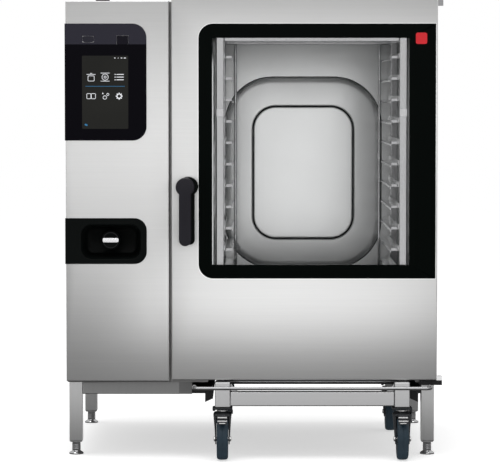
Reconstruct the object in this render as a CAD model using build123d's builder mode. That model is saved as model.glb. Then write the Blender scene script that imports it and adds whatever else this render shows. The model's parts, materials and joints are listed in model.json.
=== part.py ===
from build123d import *
import math
import os

# Floor-standing combi steamer oven with a roll-in loading trolley.
# Millimetres. +X right, +Y back, +Z up; the door faces -Y. The origin is on the floor,
# under the middle of the overall box. Every size below is a driving dimension.

# Containers and rack
container_width = 530.0      # 2/1 gastronorm, across the rails
container_depth = 650.0      # 2/1 gastronorm, along the rails
level_count = 12
level_pitch = 65.0
first_level_rise = 168.0     # from the cavity floor to the lowest rail
upright_size = 24.0          # square tube of the rack
rail_thickness = 1.5
rail_height = 17.0           # upright flange of each rail
ledge_width = 27.0           # shelf of each rail
container_play = 0.5         # each side, between container rim and rail
rack_crown = 77.0            # from the top rail to the top of the rack
stop_rod_diameter = 8.0

# Cabinet
column_width = 310.0         # technical column left of the door
left_stile = 115.5           # frame between column and cavity mouth
right_stile = 60.5
mouth_clearance = 24.0       # between rack and each side of the cavity mouth
mouth_head = 10.0            # the mouth is this much lower than the ceiling
sheet = 1.5
insulation_thickness = 38.0
cavity_rise = 97.0           # from the casing bottom to the cavity floor
cavity_crown = 45.0          # from the rack's top to the ceiling
cavity_corner = 20.0
roof_depth = 49.5            # from the ceiling to the casing top
back_clearance = 70.0        # from the container stop to the cavity's back wall
back_space = 100.0           # insulation and services behind the cavity
column_rise = 9.0            # from the casing bottom to the column front
hinge_proud = 17.0           # hinge knuckles beyond the right side
glass_proud = 2.0            # control glass beyond the left side

# Door
door_thickness = 62.0
door_gap = 7.5
gasket_gap = 6.0
door_clearance = 13.0        # from the casing bottom to the door bottom
door_rise = 5.5              # door top above the casing top
pane_thickness = 6.0
window_height = 680.0
glass_border_left = 41.0
glass_border_right = 80.0
glass_border_top = 43.0
glass_border_bottom = 42.0
glass_drop = 67.5            # from the casing top to the glass
glass_corner = 44.0
handle_rise = 583.0          # from the door bottom to the handle
handle_inset = 50.0          # from the door's left edge
lever_offset = 8.0           # the lever stands this far left of its neck
handle_length = 176.0
hinge_pin_radius = 5.0
pin_clearance = 0.05
face_gap = 0.5               # between turning faces

# Stand
leg_size = 40.0
leg_wall = 2.0
leg_bottom = 38.0
rail_height_of_stand = 38.0
leg_setback = 81.0           # from the door's front to the front legs
foot_radius = 22.0
foot_neck_radius = 13.0
slide_clearance = 0.1

# Trolley
tube_size = 46.0             # corner posts
castor_head = 30.0           # from the top of the wheels to the posts
post_height = 76.0
beam_height = 43.0
beam_rise = 4.0              # from the bottom of the posts to the beams
trolley_clearance = 68.0     # from the bottom of the posts to the casing
beam_width = 40.0
plate_thickness = 6.0        # castor top plates
castor_half_width = 28.0
wheel_radius = 62.5
wheel_width = 34.0
castor_trail = 36.0
castor_wheelbase = 728.0
rod_diameter = 10.5
rod_rise = 58.5              # from the bottom of the posts to the pull rod

# Works
fan_clearance = 61.25
fan_width = 60.0
shaft_radius = 10.0
motor_radius = 80.0
reel_radius = 80.0           # at the middle of the hose on the drum
hose_diameter = 14.0
vent_height = 31.5           # roof stubs above the casing
fitting_reach = 15.0         # water inlets behind the casing

# Places that follow from them, left to right
rack_inner = container_width / 2 + container_play + rail_thickness
rack_outer = rack_inner + upright_size
mouth_width = 2 * (rack_outer + mouth_clearance)
cabinet_width = column_width + left_stile + mouth_width + right_stile
cabinet_left = glass_proud - (cabinet_width + hinge_proud + glass_proud) / 2
cabinet_right = cabinet_left + cabinet_width
column_right = cabinet_left + column_width
door_left = column_right + door_gap
door_right = cabinet_right
mouth_left = column_right + left_stile
mouth_right = cabinet_right - right_stile
rack_center = (mouth_left + mouth_right) / 2
cavity_left = column_right + insulation_thickness + sheet + 1
cavity_right = cabinet_right - insulation_thickness - 3 * sheet - 3
window_left = mouth_left + 14
window_right = mouth_right - 25
glass_left = window_left - glass_border_left
glass_right = window_right + glass_border_right

# Bottom to top
post_bottom = 2 * wheel_radius + castor_head
post_top = post_bottom + post_height
beam_bottom = post_bottom + beam_rise
rod_height = post_bottom + rod_rise
casing_bottom = post_bottom + trolley_clearance
rail_bottom = casing_bottom - rail_height_of_stand
column_bottom = casing_bottom + column_rise
door_bottom = casing_bottom + door_clearance
handle_height = door_bottom + handle_rise
cavity_floor = casing_bottom + cavity_rise
first_level = cavity_floor + first_level_rise
top_level = first_level + (level_count - 1) * level_pitch
rack_top = top_level + rack_crown
cavity_ceiling = rack_top + cavity_crown
casing_top = cavity_ceiling + roof_depth
door_top = casing_top + door_rise
mouth_top = cavity_ceiling - mouth_head
glass_top = casing_top - glass_drop
window_top = glass_top - glass_border_top
window_bottom = window_top - window_height
glass_bottom = window_bottom - glass_border_bottom

# Front to back
upright_setback = 48.0       # from the frame plane to the uprights
pocket_clearance = 10.0      # behind the uprights
mouth_depth = upright_setback + upright_size + pocket_clearance
unit_depth = (door_thickness + gasket_gap + upright_setback + container_depth
              + back_clearance + back_space)
front_overhang = castor_trail + wheel_radius
door_front = (front_overhang - fitting_reach - unit_depth) / 2
door_back = door_front + door_thickness
frame_front = door_back + gasket_gap
apron_front = frame_front + mouth_depth
rack_front = frame_front + upright_setback
container_stop = rack_front + container_depth
cavity_back = container_stop + back_clearance
unit_back = door_front + unit_depth
column_front = door_front + 3
fan_y = (frame_front + cavity_back) / 2 + 20
fan_z = (cavity_floor + cavity_ceiling) / 2
fan_spread = (cavity_ceiling - cavity_floor) / 4      # from the middle to each fan
fan_radius = fan_spread - fan_clearance

os.makedirs("parts", exist_ok=True)


def block(x0, x1, y0, y1, z0, z1, mode=Mode.ADD):
    """A box between two corners, in the part being built."""
    with Locations(((x0 + x1) / 2, (y0 + y1) / 2, (z0 + z1) / 2)):
        Box(x1 - x0, y1 - y0, z1 - z0, mode=mode)


def rod(x, y, z, radius, length, turn=(0, 0, 0), mode=Mode.ADD):
    """A round bar centred on a point, along Z unless it is turned."""
    with Locations(Location((x, y, z), turn)):
        Cylinder(radius, length, mode=mode)


ALONG_X = (0, 90, 0)
ALONG_Y = (90, 0, 0)

# ---------------------------------------------------------------- stand

leg_left = cabinet_left + 3.5
leg_right = cabinet_right - 3 - leg_size
leg_front = door_front + leg_setback
leg_back = unit_back - 13 - leg_size
bay_rail_left = mouth_left - 88      # frame rail beside the trolley bay
leg_places = {
    "front_left": (leg_left, leg_front),
    "front_right": (leg_right, leg_front),
    "back_left": (leg_left, leg_back),
    "back_right": (leg_right, leg_back),
}
plug_thickness = 14.0
stem_length = 50.0


def stand_rail(x0, x1, y0, y1):
    """A closed rectangular tube between two legs."""
    block(x0, x1, y0, y1, rail_bottom, casing_bottom)
    block(x0 + leg_wall, x1 - leg_wall, y0 + leg_wall, y1 - leg_wall,
          rail_bottom + leg_wall, casing_bottom - leg_wall, mode=Mode.SUBTRACT)


# Square legs with a bored plug for each levelling foot, and the rails between them
with BuildPart() as stand_frame:
    stand_rail(leg_left + leg_size, bay_rail_left, leg_front, leg_front + leg_size)
    stand_rail(leg_left, leg_left + leg_size, leg_front + leg_size, leg_back)
    stand_rail(leg_left + leg_size, leg_right, leg_back, leg_back + leg_size)
    stand_rail(leg_right, leg_right + leg_size, leg_front + leg_size, leg_back)
    stand_rail(bay_rail_left, bay_rail_left + leg_size, leg_front, leg_back)
    for x, y in leg_places.values():
        block(x, x + leg_size, y, y + leg_size, leg_bottom, casing_bottom)
        block(x + leg_wall, x + leg_size - leg_wall, y + leg_wall, y + leg_size - leg_wall,
              leg_bottom + plug_thickness, casing_bottom - leg_wall, mode=Mode.SUBTRACT)
        rod(x + leg_size / 2, y + leg_size / 2, leg_bottom + plug_thickness / 2,
            foot_neck_radius + slide_clearance, plug_thickness + 2, mode=Mode.SUBTRACT)
stand_frame.part.label = "stand_frame"
export_step(stand_frame.part, "parts/stand_frame.step")

# One levelling foot under each leg
for place, (x, y) in leg_places.items():
    with BuildPart() as foot:
        with BuildSketch(Plane.XZ.offset(-(y + leg_size / 2))):
            with BuildLine():
                Polyline(
                    (x + leg_size / 2, 0),
                    (x + leg_size / 2 + foot_radius, 0),
                    (x + leg_size / 2 + foot_radius, 4),
                    (x + leg_size / 2 + foot_neck_radius, 11),
                    (x + leg_size / 2 + foot_neck_radius, leg_bottom + stem_length),
                    (x + leg_size / 2, leg_bottom + stem_length),
                    close=True,
                )
            make_face()
        revolve(axis=Axis((x + leg_size / 2, y + leg_size / 2, 0), (0, 0, 1)))
    foot.part.label = f"foot_{place}"
    export_step(foot.part, f"parts/foot_{place}.step")

# Guides either side of the trolley bay
guide_top = rod_height - rod_diameter / 2 - 3
guide_back = door_front + 640
guide_flange = 18.0
guide_plate = 24.0
guide_clearance = 7.0
post_center = rack_outer + 2 - tube_size / 2
guide_inner = rack_outer + 2 + guide_clearance
with BuildPart() as trolley_guides:
    for side, wall in ((-1, bay_rail_left + leg_size), (1, leg_right)):
        inner = rack_center + side * guide_inner
        outer = inner + side * guide_plate
        with BuildSketch(Plane.XZ.offset(-guide_back)):
            with BuildLine():
                Polyline(
                    (wall, guide_top), (inner, guide_top), (inner, guide_top - 34),
                    (outer, guide_top - 45), (outer, guide_top - guide_flange),
                    (wall, guide_top - guide_flange), close=True,
                )
            make_face()
        extrude(amount=guide_back - leg_front)
trolley_guides.part.label = "trolley_guides"
export_step(trolley_guides.part, "parts/trolley_guides.step")

# ---------------------------------------------------------------- casing

with BuildPart() as side_panel_left:
    block(cabinet_left, cabinet_left + sheet, frame_front, unit_back, casing_bottom, casing_top)
    for row in range(9):
        louvre = casing_bottom + 100 + row * 22
        block(cabinet_left - 1, cabinet_left + 2 * sheet, unit_back - 280, unit_back - 100,
              louvre, louvre + 6, mode=Mode.SUBTRACT)
side_panel_left.part.label = "side_panel_left"
export_step(side_panel_left.part, "parts/side_panel_left.step")

with BuildPart() as side_panel_right:
    block(cabinet_right - sheet, cabinet_right, frame_front, unit_back, casing_bottom, casing_top)
side_panel_right.part.label = "side_panel_right"
export_step(side_panel_right.part, "parts/side_panel_right.step")

inside_left = cabinet_left + sheet
inside_right = cabinet_right - sheet
inside_back = unit_back - sheet

vent_places = ((cabinet_left + 95, door_front + 330, 22.5, vent_height),
               (cabinet_left + 190, unit_back - 150, 40, vent_height - 8))
with BuildPart() as top_panel:
    block(inside_left, inside_right, frame_front, inside_back, casing_top - sheet, casing_top)
    for x, y, radius, height in vent_places:
        rod(x, y, casing_top, radius - 3, 4 * sheet, mode=Mode.SUBTRACT)
top_panel.part.label = "top_panel"
export_step(top_panel.part, "parts/top_panel.step")

with BuildPart() as roof_vents:
    for x, y, radius, height in vent_places:
        rod(x, y, casing_top + height / 2, radius, height)
        rod(x, y, casing_top + height / 2, radius - 3, 2 * height, mode=Mode.SUBTRACT)
roof_vents.part.label = "roof_vents"
export_step(roof_vents.part, "parts/roof_vents.step")

with BuildPart() as bottom_panel:
    block(inside_left, inside_right, frame_front, inside_back, casing_bottom, casing_bottom + sheet)
    block(mouth_left, mouth_right, frame_front - 1, apron_front, casing_bottom - 1,
          casing_bottom + 2 * sheet, mode=Mode.SUBTRACT)
bottom_panel.part.label = "bottom_panel"
export_step(bottom_panel.part, "parts/bottom_panel.step")

inlet_radius = 13.2
drain_radius = 25.0
gland_radius = 12.5
drain_reach = 12.0
neck_step = 3.0
inlets = ((cabinet_left + 90, 320.0), (cabinet_left + 150, 320.0))
drain = (cabinet_left + 330, 300.0)
gland = (cabinet_left + 60, 420.0)
with BuildPart() as rear_panel:
    block(inside_left, inside_right, inside_back, unit_back, casing_bottom, casing_top)
    for x, z in inlets:
        rod(x, unit_back, z, inlet_radius - neck_step, 4 * sheet, ALONG_Y, mode=Mode.SUBTRACT)
    rod(drain[0], unit_back, drain[1], drain_radius - neck_step, 4 * sheet, ALONG_Y, mode=Mode.SUBTRACT)
    rod(gland[0], unit_back, gland[1], gland_radius - neck_step, 4 * sheet, ALONG_Y, mode=Mode.SUBTRACT)
rear_panel.part.label = "rear_panel"
export_step(rear_panel.part, "parts/rear_panel.step")

# Two threaded water inlets, the drain pipe and the cable gland, through the rear panel
with BuildPart() as rear_fittings:
    for x, z in inlets:
        rod(x, unit_back + fitting_reach / 2, z, inlet_radius, fitting_reach, ALONG_Y)
        rod(x, unit_back - 10, z, inlet_radius - neck_step, 22, ALONG_Y)
        rod(x, unit_back, z, inlet_radius - 2 * neck_step, 60, ALONG_Y, mode=Mode.SUBTRACT)
    rod(drain[0], unit_back + drain_reach / 2, drain[1], drain_radius, drain_reach, ALONG_Y)
    rod(drain[0], unit_back - 20, drain[1], drain_radius - neck_step, 42, ALONG_Y)
    rod(drain[0], unit_back - 10, drain[1], drain_radius - neck_step - 2, 80, ALONG_Y,
        mode=Mode.SUBTRACT)
    rod(gland[0], unit_back + 5, gland[1], gland_radius, 10, ALONG_Y)
    rod(gland[0], unit_back - 10, gland[1], gland_radius - neck_step, 22, ALONG_Y)
rear_fittings.part.label = "rear_fittings"
export_step(rear_fittings.part, "parts/rear_fittings.step")

# Screw heads along both edges of the rear panel
screw_radius = 4.5
screw_head = 2.5
with BuildPart() as panel_screws:
    with BuildSketch(Plane.XZ.offset(-unit_back)):
        with Locations(((inside_left + inside_right) / 2, (casing_bottom + casing_top) / 2)):
            with GridLocations(inside_right - inside_left - 24, 180, 2, 7):
                Circle(screw_radius)
    extrude(amount=-screw_head)
panel_screws.part.label = "panel_screws"
export_step(panel_screws.part, "parts/panel_screws.step")

# ---------------------------------------------------------------- column front

control_left = cabinet_left - glass_proud
control_right = control_left + 245
control_bottom = glass_top - 350
recess_bottom = glass_top - 721
recess_height = 138.0
tray_width = 180.0
tray_height = 105.0
tray_depth = 68.0
tray_center = (control_left + 137.5, recess_bottom + recess_height / 2 - 2)
display_width = 138.5
display_height = 219.0
display_center = (control_left + 121, control_bottom + 144.5)

with BuildPart() as column_front_panel:
    block(cabinet_left, column_right, column_front, frame_front, column_bottom, casing_top)
    block(inside_left, column_right - sheet, column_front + sheet, frame_front + 1,
          column_bottom + sheet, casing_top - sheet, mode=Mode.SUBTRACT)
    block(control_left + 20, control_right - 15, column_front - 1, column_front + 2 * sheet,
          control_bottom + 15, glass_top - 15, mode=Mode.SUBTRACT)
    block(tray_center[0] - tray_width / 2 - 3, tray_center[0] + tray_width / 2 + 3,
          column_front - 1, column_front + 2 * sheet,
          tray_center[1] - tray_height / 2 - 3, tray_center[1] + tray_height / 2 + 3,
          mode=Mode.SUBTRACT)
column_front_panel.part.label = "column_front_panel"
export_step(column_front_panel.part, "parts/column_front_panel.step")

button_center = (control_left + 70.3, glass_top - 46.4)
button_size = (33.0, 18.0)
usb_center = (control_left + 173.5, glass_top - 49.4)
usb_size = (34.0, 26.0)
key_clearance = 0.5
cover_thickness = 2.4

# Black glass over the controls, with windows for the power key and the data port's cover
with BuildPart() as control_glass:
    with BuildSketch(Plane.XZ.offset(-column_front)):
        with Locations(((control_left + control_right) / 2, (control_bottom + glass_top) / 2)):
            Rectangle(control_right - control_left, glass_top - control_bottom)
    extrude(amount=column_front - door_front)
    fillet(control_glass.edges().filter_by(Axis.Y).sort_by(Axis.X)[-2:], glass_corner - 2)
    for (x, z), (width, height) in ((button_center, button_size), (usb_center, usb_size)):
        block(x - width / 2 - key_clearance, x + width / 2 + key_clearance,
              door_front - 1, column_front + 1,
              z - height / 2 - key_clearance, z + height / 2 + key_clearance, mode=Mode.SUBTRACT)
control_glass.part.label = "control_glass"
export_step(control_glass.part, "parts/control_glass.step")

with BuildPart() as power_button:
    block(button_center[0] - button_size[0] / 2, button_center[0] + button_size[0] / 2,
          door_front + 0.2, column_front + 5,
          button_center[1] - button_size[1] / 2, button_center[1] + button_size[1] / 2)
    fillet(power_button.edges().filter_by(Axis.Y), 4)
power_button.part.label = "power_button"
export_step(power_button.part, "parts/power_button.step")

# The cover turns about its rounded top edge
usb_top = usb_center[1] + usb_size[1] / 2
with BuildPart() as usb_cover:
    block(usb_center[0] - usb_size[0] / 2, usb_center[0] + usb_size[0] / 2,
          door_front, door_front + cover_thickness,
          usb_center[1] - usb_size[1] / 2, usb_top)
    fillet(usb_cover.edges().filter_by(Axis.X).group_by(Axis.Z)[-1], cover_thickness / 2 - 0.05)
usb_cover.part.label = "usb_cover"
export_step(usb_cover.part, "parts/usb_cover.step")

# Display, data port and the board behind them
board_front = column_front + 30
with BuildPart() as control_board:
    block(display_center[0] - display_width / 2, display_center[0] + display_width / 2,
          column_front, column_front + 12,
          display_center[1] - display_height / 2, display_center[1] + display_height / 2)
    block(control_left + 25, control_right - 20, board_front, board_front + 3,
          control_bottom + 20, glass_top - 20)
    block(usb_center[0] - 12, usb_center[0] + 12, column_front + 3, board_front,
          usb_center[1] - 7, usb_center[1] + 7)
    block(display_center[0] - 30, display_center[0] + 30, column_front + 12, board_front,
          display_center[1] - 20, display_center[1] + 20)
    block(control_left + 40, control_left + 110, board_front + 3, board_front + 28,
          control_bottom + 60, control_bottom + 160)
control_board.part.label = "control_board"
export_step(control_board.part, "parts/control_board.step")

# Black surround with a tray for the hand shower
head_x = control_left + 136
head_z = recess_bottom + 71
hose_radius = hose_diameter / 2
hose_hole = hose_radius + 4
tray_back = door_front + tray_depth
with BuildPart() as recess_bezel:
    with BuildSketch(Plane.XZ.offset(-column_front)):
        with Locations(((control_left + control_right) / 2, recess_bottom + recess_height / 2)):
            Rectangle(control_right - control_left, recess_height)
    extrude(amount=column_front - door_front)
    fillet(recess_bezel.edges().filter_by(Axis.Y).sort_by(Axis.X)[-2:], 37)
    with BuildSketch(Plane.XZ.offset(-tray_back)):
        with Locations(tray_center):
            RectangleRounded(tray_width, tray_height, 32)
    extrude(amount=tray_depth)
    with BuildSketch(Plane.XZ.offset(-(tray_back - 2))):
        with Locations(tray_center):
            RectangleRounded(tray_width - 4, tray_height - 4, 30)
    extrude(amount=tray_depth, mode=Mode.SUBTRACT)
    rod(head_x, tray_back, head_z, hose_hole, 20, ALONG_Y, mode=Mode.SUBTRACT)
recess_bezel.part.label = "recess_bezel"
export_step(recess_bezel.part, "parts/recess_bezel.step")

# Hand shower: round head, hose tail, push bar
head_radius = 28.5
head_front = door_front + 14
head_length = 44.0
bar_travel = 3.5
plunger_radius = 4.0
reel_y = door_front + 430
reel_z = head_z - reel_radius
with BuildPart() as shower_head:
    rod(head_x, head_front + head_length / 2, head_z, head_radius, head_length, ALONG_Y)
    fillet(shower_head.edges().filter_by(GeomType.CIRCLE), 3)
    rod(head_x, (head_front + head_length + reel_y) / 2, head_z, hose_radius,
        reel_y - head_front - head_length, ALONG_Y)
    rod(head_x, head_front, head_z, plunger_radius + slide_clearance * 3, 36, ALONG_Y,
        mode=Mode.SUBTRACT)
shower_head.part.label = "shower_head"
export_step(shower_head.part, "parts/shower_head.step")

with BuildPart() as shower_trigger:
    block(head_x - 24.5, head_x + 24.5, head_front - 8, head_front - bar_travel - face_gap,
          head_z - 7, head_z + 7)
    fillet(shower_trigger.edges().filter_by(Axis.Y), 3)
    rod(head_x, head_front + 3, head_z, plunger_radius, 16, ALONG_Y)
shower_trigger.part.label = "shower_trigger"
export_step(shower_trigger.part, "parts/shower_trigger.step")

reel_half = 24.0
axle_radius = 8.0
with BuildPart() as hose_reel:
    rod(head_x, reel_y, reel_z, reel_radius - hose_radius - 1, 2 * reel_half, ALONG_X)
    rod(head_x, reel_y, reel_z, axle_radius + face_gap, 4 * reel_half, ALONG_X, mode=Mode.SUBTRACT)
    for side in (-1, 1):
        rod(head_x + side * reel_half, reel_y, reel_z, reel_radius + hose_diameter, 3, ALONG_X)
        rod(head_x + side * reel_half, reel_y, reel_z, axle_radius + face_gap, 6, ALONG_X,
            mode=Mode.SUBTRACT)
hose_reel.part.label = "hose_reel"
export_step(hose_reel.part, "parts/hose_reel.step")

with BuildPart() as reel_bracket:
    block(inside_left, inside_left + 3, reel_y - 50, reel_y + 50, reel_z - 50, reel_z + 50)
    rod((inside_left + head_x + reel_half + 12) / 2, reel_y, reel_z, axle_radius,
        head_x + reel_half + 12 - inside_left, ALONG_X)
reel_bracket.part.label = "reel_bracket"
export_step(reel_bracket.part, "parts/reel_bracket.step")

# ---------------------------------------------------------------- cavity

frame_thickness = 3.0
liner_front = frame_front + frame_thickness
handle_x = door_left + handle_inset
spindle_radius = 8.0
cam_reach = 9.0
cam_opening = 14.5
keeper_wall = 2.0
keeper_depth = 26.0

# Frame around the mouth, with the cup that the latch turns in

with BuildPart() as front_frame:
    block(column_right, inside_right, frame_front, liner_front,
          casing_bottom + sheet, casing_top - sheet)
    block(mouth_left, mouth_right, frame_front - 1, liner_front + 1,
          casing_bottom, mouth_top, mode=Mode.SUBTRACT)
    rod(handle_x, liner_front + keeper_depth / 2, handle_height, cam_opening + keeper_wall,
        keeper_depth, ALONG_Y)
    rod(handle_x, frame_front + keeper_depth / 2, handle_height, cam_opening,
        keeper_depth + keeper_wall, ALONG_Y, mode=Mode.SUBTRACT)
front_frame.part.label = "front_frame"
export_step(front_frame.part, "parts/front_frame.step")

fan_places = {"upper": fan_z + fan_spread, "lower": fan_z - fan_spread}
shaft_hole = shaft_radius + 6

# Cooking chamber, with a pocket at the front for the trolley's uprights
with BuildPart() as cavity_liner:
    with BuildSketch(Plane.XZ.offset(-(cavity_back + sheet))):
        with Locations(((cavity_left + cavity_right) / 2, (cavity_floor + cavity_ceiling) / 2)):
            RectangleRounded(cavity_right - cavity_left + 2 * sheet,
                             cavity_ceiling - cavity_floor + 2 * sheet, cavity_corner + sheet)
    extrude(amount=cavity_back + sheet - liner_front)
    block(mouth_left - sheet, mouth_right + sheet, liner_front, apron_front + sheet,
          casing_bottom + sheet, cavity_floor + cavity_corner)
    with BuildSketch(Plane.XZ.offset(-cavity_back)):
        with Locations(((cavity_left + cavity_right) / 2, (cavity_floor + cavity_ceiling) / 2)):
            RectangleRounded(cavity_right - cavity_left, cavity_ceiling - cavity_floor, cavity_corner)
    extrude(amount=cavity_back - liner_front, mode=Mode.SUBTRACT)
    block(mouth_left, mouth_right, liner_front, apron_front, casing_bottom,
          cavity_floor + 1, mode=Mode.SUBTRACT)
    for z in fan_places.values():
        rod(cavity_left, fan_y, z, shaft_hole, 6 * sheet, ALONG_X, mode=Mode.SUBTRACT)
cavity_liner.part.label = "cavity_liner"
export_step(cavity_liner.part, "parts/cavity_liner.step")

wrap = sheet + insulation_thickness
with BuildPart() as insulation:
    block(cavity_left - wrap, cavity_right + wrap, liner_front, cavity_back + wrap,
          cavity_floor - wrap, cavity_ceiling + wrap)
    block(cavity_left - sheet, cavity_right + sheet, liner_front - 1, cavity_back + sheet,
          cavity_floor - sheet, cavity_ceiling + sheet, mode=Mode.SUBTRACT)
    block(mouth_left - sheet, mouth_right + sheet, liner_front - 1, apron_front + sheet,
          cavity_floor - 2 * wrap, cavity_floor, mode=Mode.SUBTRACT)
    rod(handle_x, liner_front, handle_height, cam_opening + keeper_wall + 1,
        2 * keeper_depth + 10, ALONG_Y, mode=Mode.SUBTRACT)
    for z in fan_places.values():
        rod(cavity_left - wrap / 2, fan_y, z, shaft_hole, 2 * wrap, ALONG_X, mode=Mode.SUBTRACT)
insulation.part.label = "insulation"
export_step(insulation.part, "parts/insulation.step")

baffle_right = rack_center - rack_outer - 9
baffle_front = apron_front + 30
baffle_thickness = 2.0
louvre_pitch = 18.0
with BuildPart() as air_baffle:
    block(baffle_right - baffle_thickness, baffle_right, baffle_front, cavity_back - 40,
          cavity_floor, cavity_ceiling)
    block(cavity_left, baffle_right, baffle_front, baffle_front + baffle_thickness,
          cavity_floor + cavity_corner, cavity_ceiling - cavity_corner)
    for z in fan_places.values():
        rod(baffle_right, fan_y, z, fan_radius - 60, 8, ALONG_X, mode=Mode.SUBTRACT)
    with Locations(Location((baffle_right, baffle_front + 35, fan_z), (0, 90, 0))):
        with GridLocations(louvre_pitch, 1, 48, 1):
            Box(8, 34, 8, mode=Mode.SUBTRACT)
air_baffle.part.label = "air_baffle"
export_step(air_baffle.part, "parts/air_baffle.step")

fan_disc_x = cavity_left + 12
motor_face = cavity_left - wrap
for place, z in fan_places.items():
    with BuildPart() as fan:
        rod(fan_disc_x, fan_y, z, fan_radius, 3, ALONG_X)
        rod(fan_disc_x + fan_width, fan_y, z, fan_radius, 3, ALONG_X)
        rod(fan_disc_x + fan_width, fan_y, z, fan_radius - 45, 6, ALONG_X, mode=Mode.SUBTRACT)
        with Locations(Location((fan_disc_x + fan_width / 2, fan_y, z), ALONG_X)):
            with PolarLocations(fan_radius - 24, 16):
                Box(44, 3, fan_width)
        rod((fan_disc_x + motor_face - 30) / 2, fan_y, z, shaft_radius,
            fan_disc_x - motor_face + 30, ALONG_X)
    fan.part.label = f"fan_{place}"
    export_step(fan.part, f"parts/fan_{place}.step")

with BuildPart() as fan_motors:
    for z in fan_places.values():
        rod(motor_face - 50, fan_y, z, motor_radius, 100, ALONG_X)
        rod(motor_face - 4, fan_y, z, motor_radius + 15, 8, ALONG_X)
        rod(motor_face - 20, fan_y, z, shaft_radius + face_gap, 44, ALONG_X, mode=Mode.SUBTRACT)
fan_motors.part.label = "fan_motors"
export_step(fan_motors.part, "parts/fan_motors.step")

ring_radius = fan_radius + 20
tube_radius = 6.0
with BuildPart() as heating_rings:
    for z in fan_places.values():
        for x in (cavity_left + 30, cavity_left + 50):
            rod(x, fan_y, z, ring_radius + tube_radius, 2 * tube_radius, ALONG_X)
        rod(cavity_left + 40, fan_y, z, ring_radius - tube_radius, 80, ALONG_X, mode=Mode.SUBTRACT)
        for side in (-1, 1):
            rod(cavity_left + 25, fan_y, z + side * ring_radius, tube_radius - 1, 50, ALONG_X)
heating_rings.part.label = "heating_rings"
export_step(heating_rings.part, "parts/heating_rings.step")

with BuildPart() as steam_generator:
    block(cabinet_left + 30, cabinet_left + 230, unit_back - 380, unit_back - 120,
          casing_bottom + sheet, casing_bottom + 210)
    fillet(steam_generator.edges().filter_by(Axis.Z), 25)
    block(cabinet_left + 33, cabinet_left + 227, unit_back - 377, unit_back - 123,
          casing_bottom + 5, casing_bottom + 207, mode=Mode.SUBTRACT)
    for offset in (60, 140):
        rod(cabinet_left + 30 + offset, unit_back - 250, casing_bottom + 225, 30, 30)
steam_generator.part.label = "steam_generator"
export_step(steam_generator.part, "parts/steam_generator.step")

# Seal between frame and door, down both stiles and across the head
gasket_width = 14.0
gasket_inset = 6.0
with BuildPart() as door_gasket:
    block(mouth_left - gasket_inset - gasket_width, mouth_right + gasket_inset + gasket_width,
          door_back + face_gap, frame_front,
          door_bottom + 6, mouth_top + gasket_inset + gasket_width)
    block(mouth_left - gasket_inset, mouth_right + gasket_inset,
          door_back, frame_front + 1,
          door_bottom, mouth_top + gasket_inset, mode=Mode.SUBTRACT)
door_gasket.part.label = "door_gasket"
export_step(door_gasket.part, "parts/door_gasket.step")

# ---------------------------------------------------------------- door

hinge_x = door_right + hinge_proud - 9
hinge_y = (door_front + door_back) / 2
hinge_half = 9.0
skin_front = door_front + 1
spindle_clearance = 0.5
tunnel_margin = 12.0
glass_clearance = 0.5

with BuildPart() as door_skin:
    block(door_left, door_right, skin_front, door_back, door_bottom, door_top)
    fillet(door_skin.edges().filter_by(Axis.Z).group_by(Axis.Y)[0], 3)
    block(door_left + sheet, door_right - sheet, skin_front + sheet, door_back + 1,
          door_bottom + sheet, door_top - sheet, mode=Mode.SUBTRACT)
    block(glass_left - glass_clearance, glass_right + glass_clearance, skin_front - 1,
          skin_front + 2 * sheet, glass_bottom - glass_clearance, glass_top + glass_clearance,
          mode=Mode.SUBTRACT)
    rod(handle_x, skin_front, handle_height, spindle_radius + spindle_clearance, 4 * sheet,
        ALONG_Y, mode=Mode.SUBTRACT)
door_skin.part.label = "door_skin"
export_step(door_skin.part, "parts/door_skin.step")

core_front = door_front + pane_thickness
core_left = door_left + sheet
core_right = door_right - sheet
pocket_depth = 8.0
pocket_margin = 40.0

# Insulated body of the door, with the window tunnel and a seat for the inner panes
with BuildPart() as door_core:
    block(core_left, core_right, core_front, door_back, door_bottom + sheet, door_top - sheet)
    block(window_left - tunnel_margin, window_right + tunnel_margin, core_front - 1, door_back + 1,
          window_bottom - tunnel_margin, window_top + tunnel_margin, mode=Mode.SUBTRACT)
    block(window_left - pocket_margin, window_right + pocket_margin,
          door_back - pocket_depth, door_back + 1,
          window_bottom - pocket_margin, window_top + pocket_margin, mode=Mode.SUBTRACT)
    rod(handle_x, hinge_y, handle_height, spindle_radius + spindle_clearance,
        2 * door_thickness, ALONG_Y, mode=Mode.SUBTRACT)
door_core.part.label = "door_core"
export_step(door_core.part, "parts/door_core.step")

with BuildPart() as door_outer_glass:
    block(glass_left, glass_right, door_front, core_front, glass_bottom, glass_top)
    fillet(door_outer_glass.edges().filter_by(Axis.Y).group_by(Axis.X)[0], glass_corner)
door_outer_glass.part.label = "door_outer_glass"
export_step(door_outer_glass.part, "parts/door_outer_glass.step")

# Middle and inner panes
with BuildPart() as door_inner_glass:
    block(window_left - tunnel_margin + 1, window_right + tunnel_margin - 1,
          hinge_y - 2, hinge_y + 2,
          window_bottom - tunnel_margin + 1, window_top + tunnel_margin - 1)
    block(window_left - pocket_margin + 1, window_right + pocket_margin - 1,
          door_back - pocket_depth, door_back - pocket_depth + pane_thickness,
          window_bottom - pocket_margin + 1, window_top + pocket_margin - 1)
door_inner_glass.part.label = "door_inner_glass"
export_step(door_inner_glass.part, "parts/door_inner_glass.step")

strip_width = 7.0
with BuildPart() as door_light_strips:
    for x in (window_left - tunnel_margin, window_right + tunnel_margin - strip_width):
        block(x, x + strip_width, hinge_y + 4, hinge_y + 16, window_bottom, window_top)
door_light_strips.part.label = "door_light_strips"
export_step(door_light_strips.part, "parts/door_light_strips.step")

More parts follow.
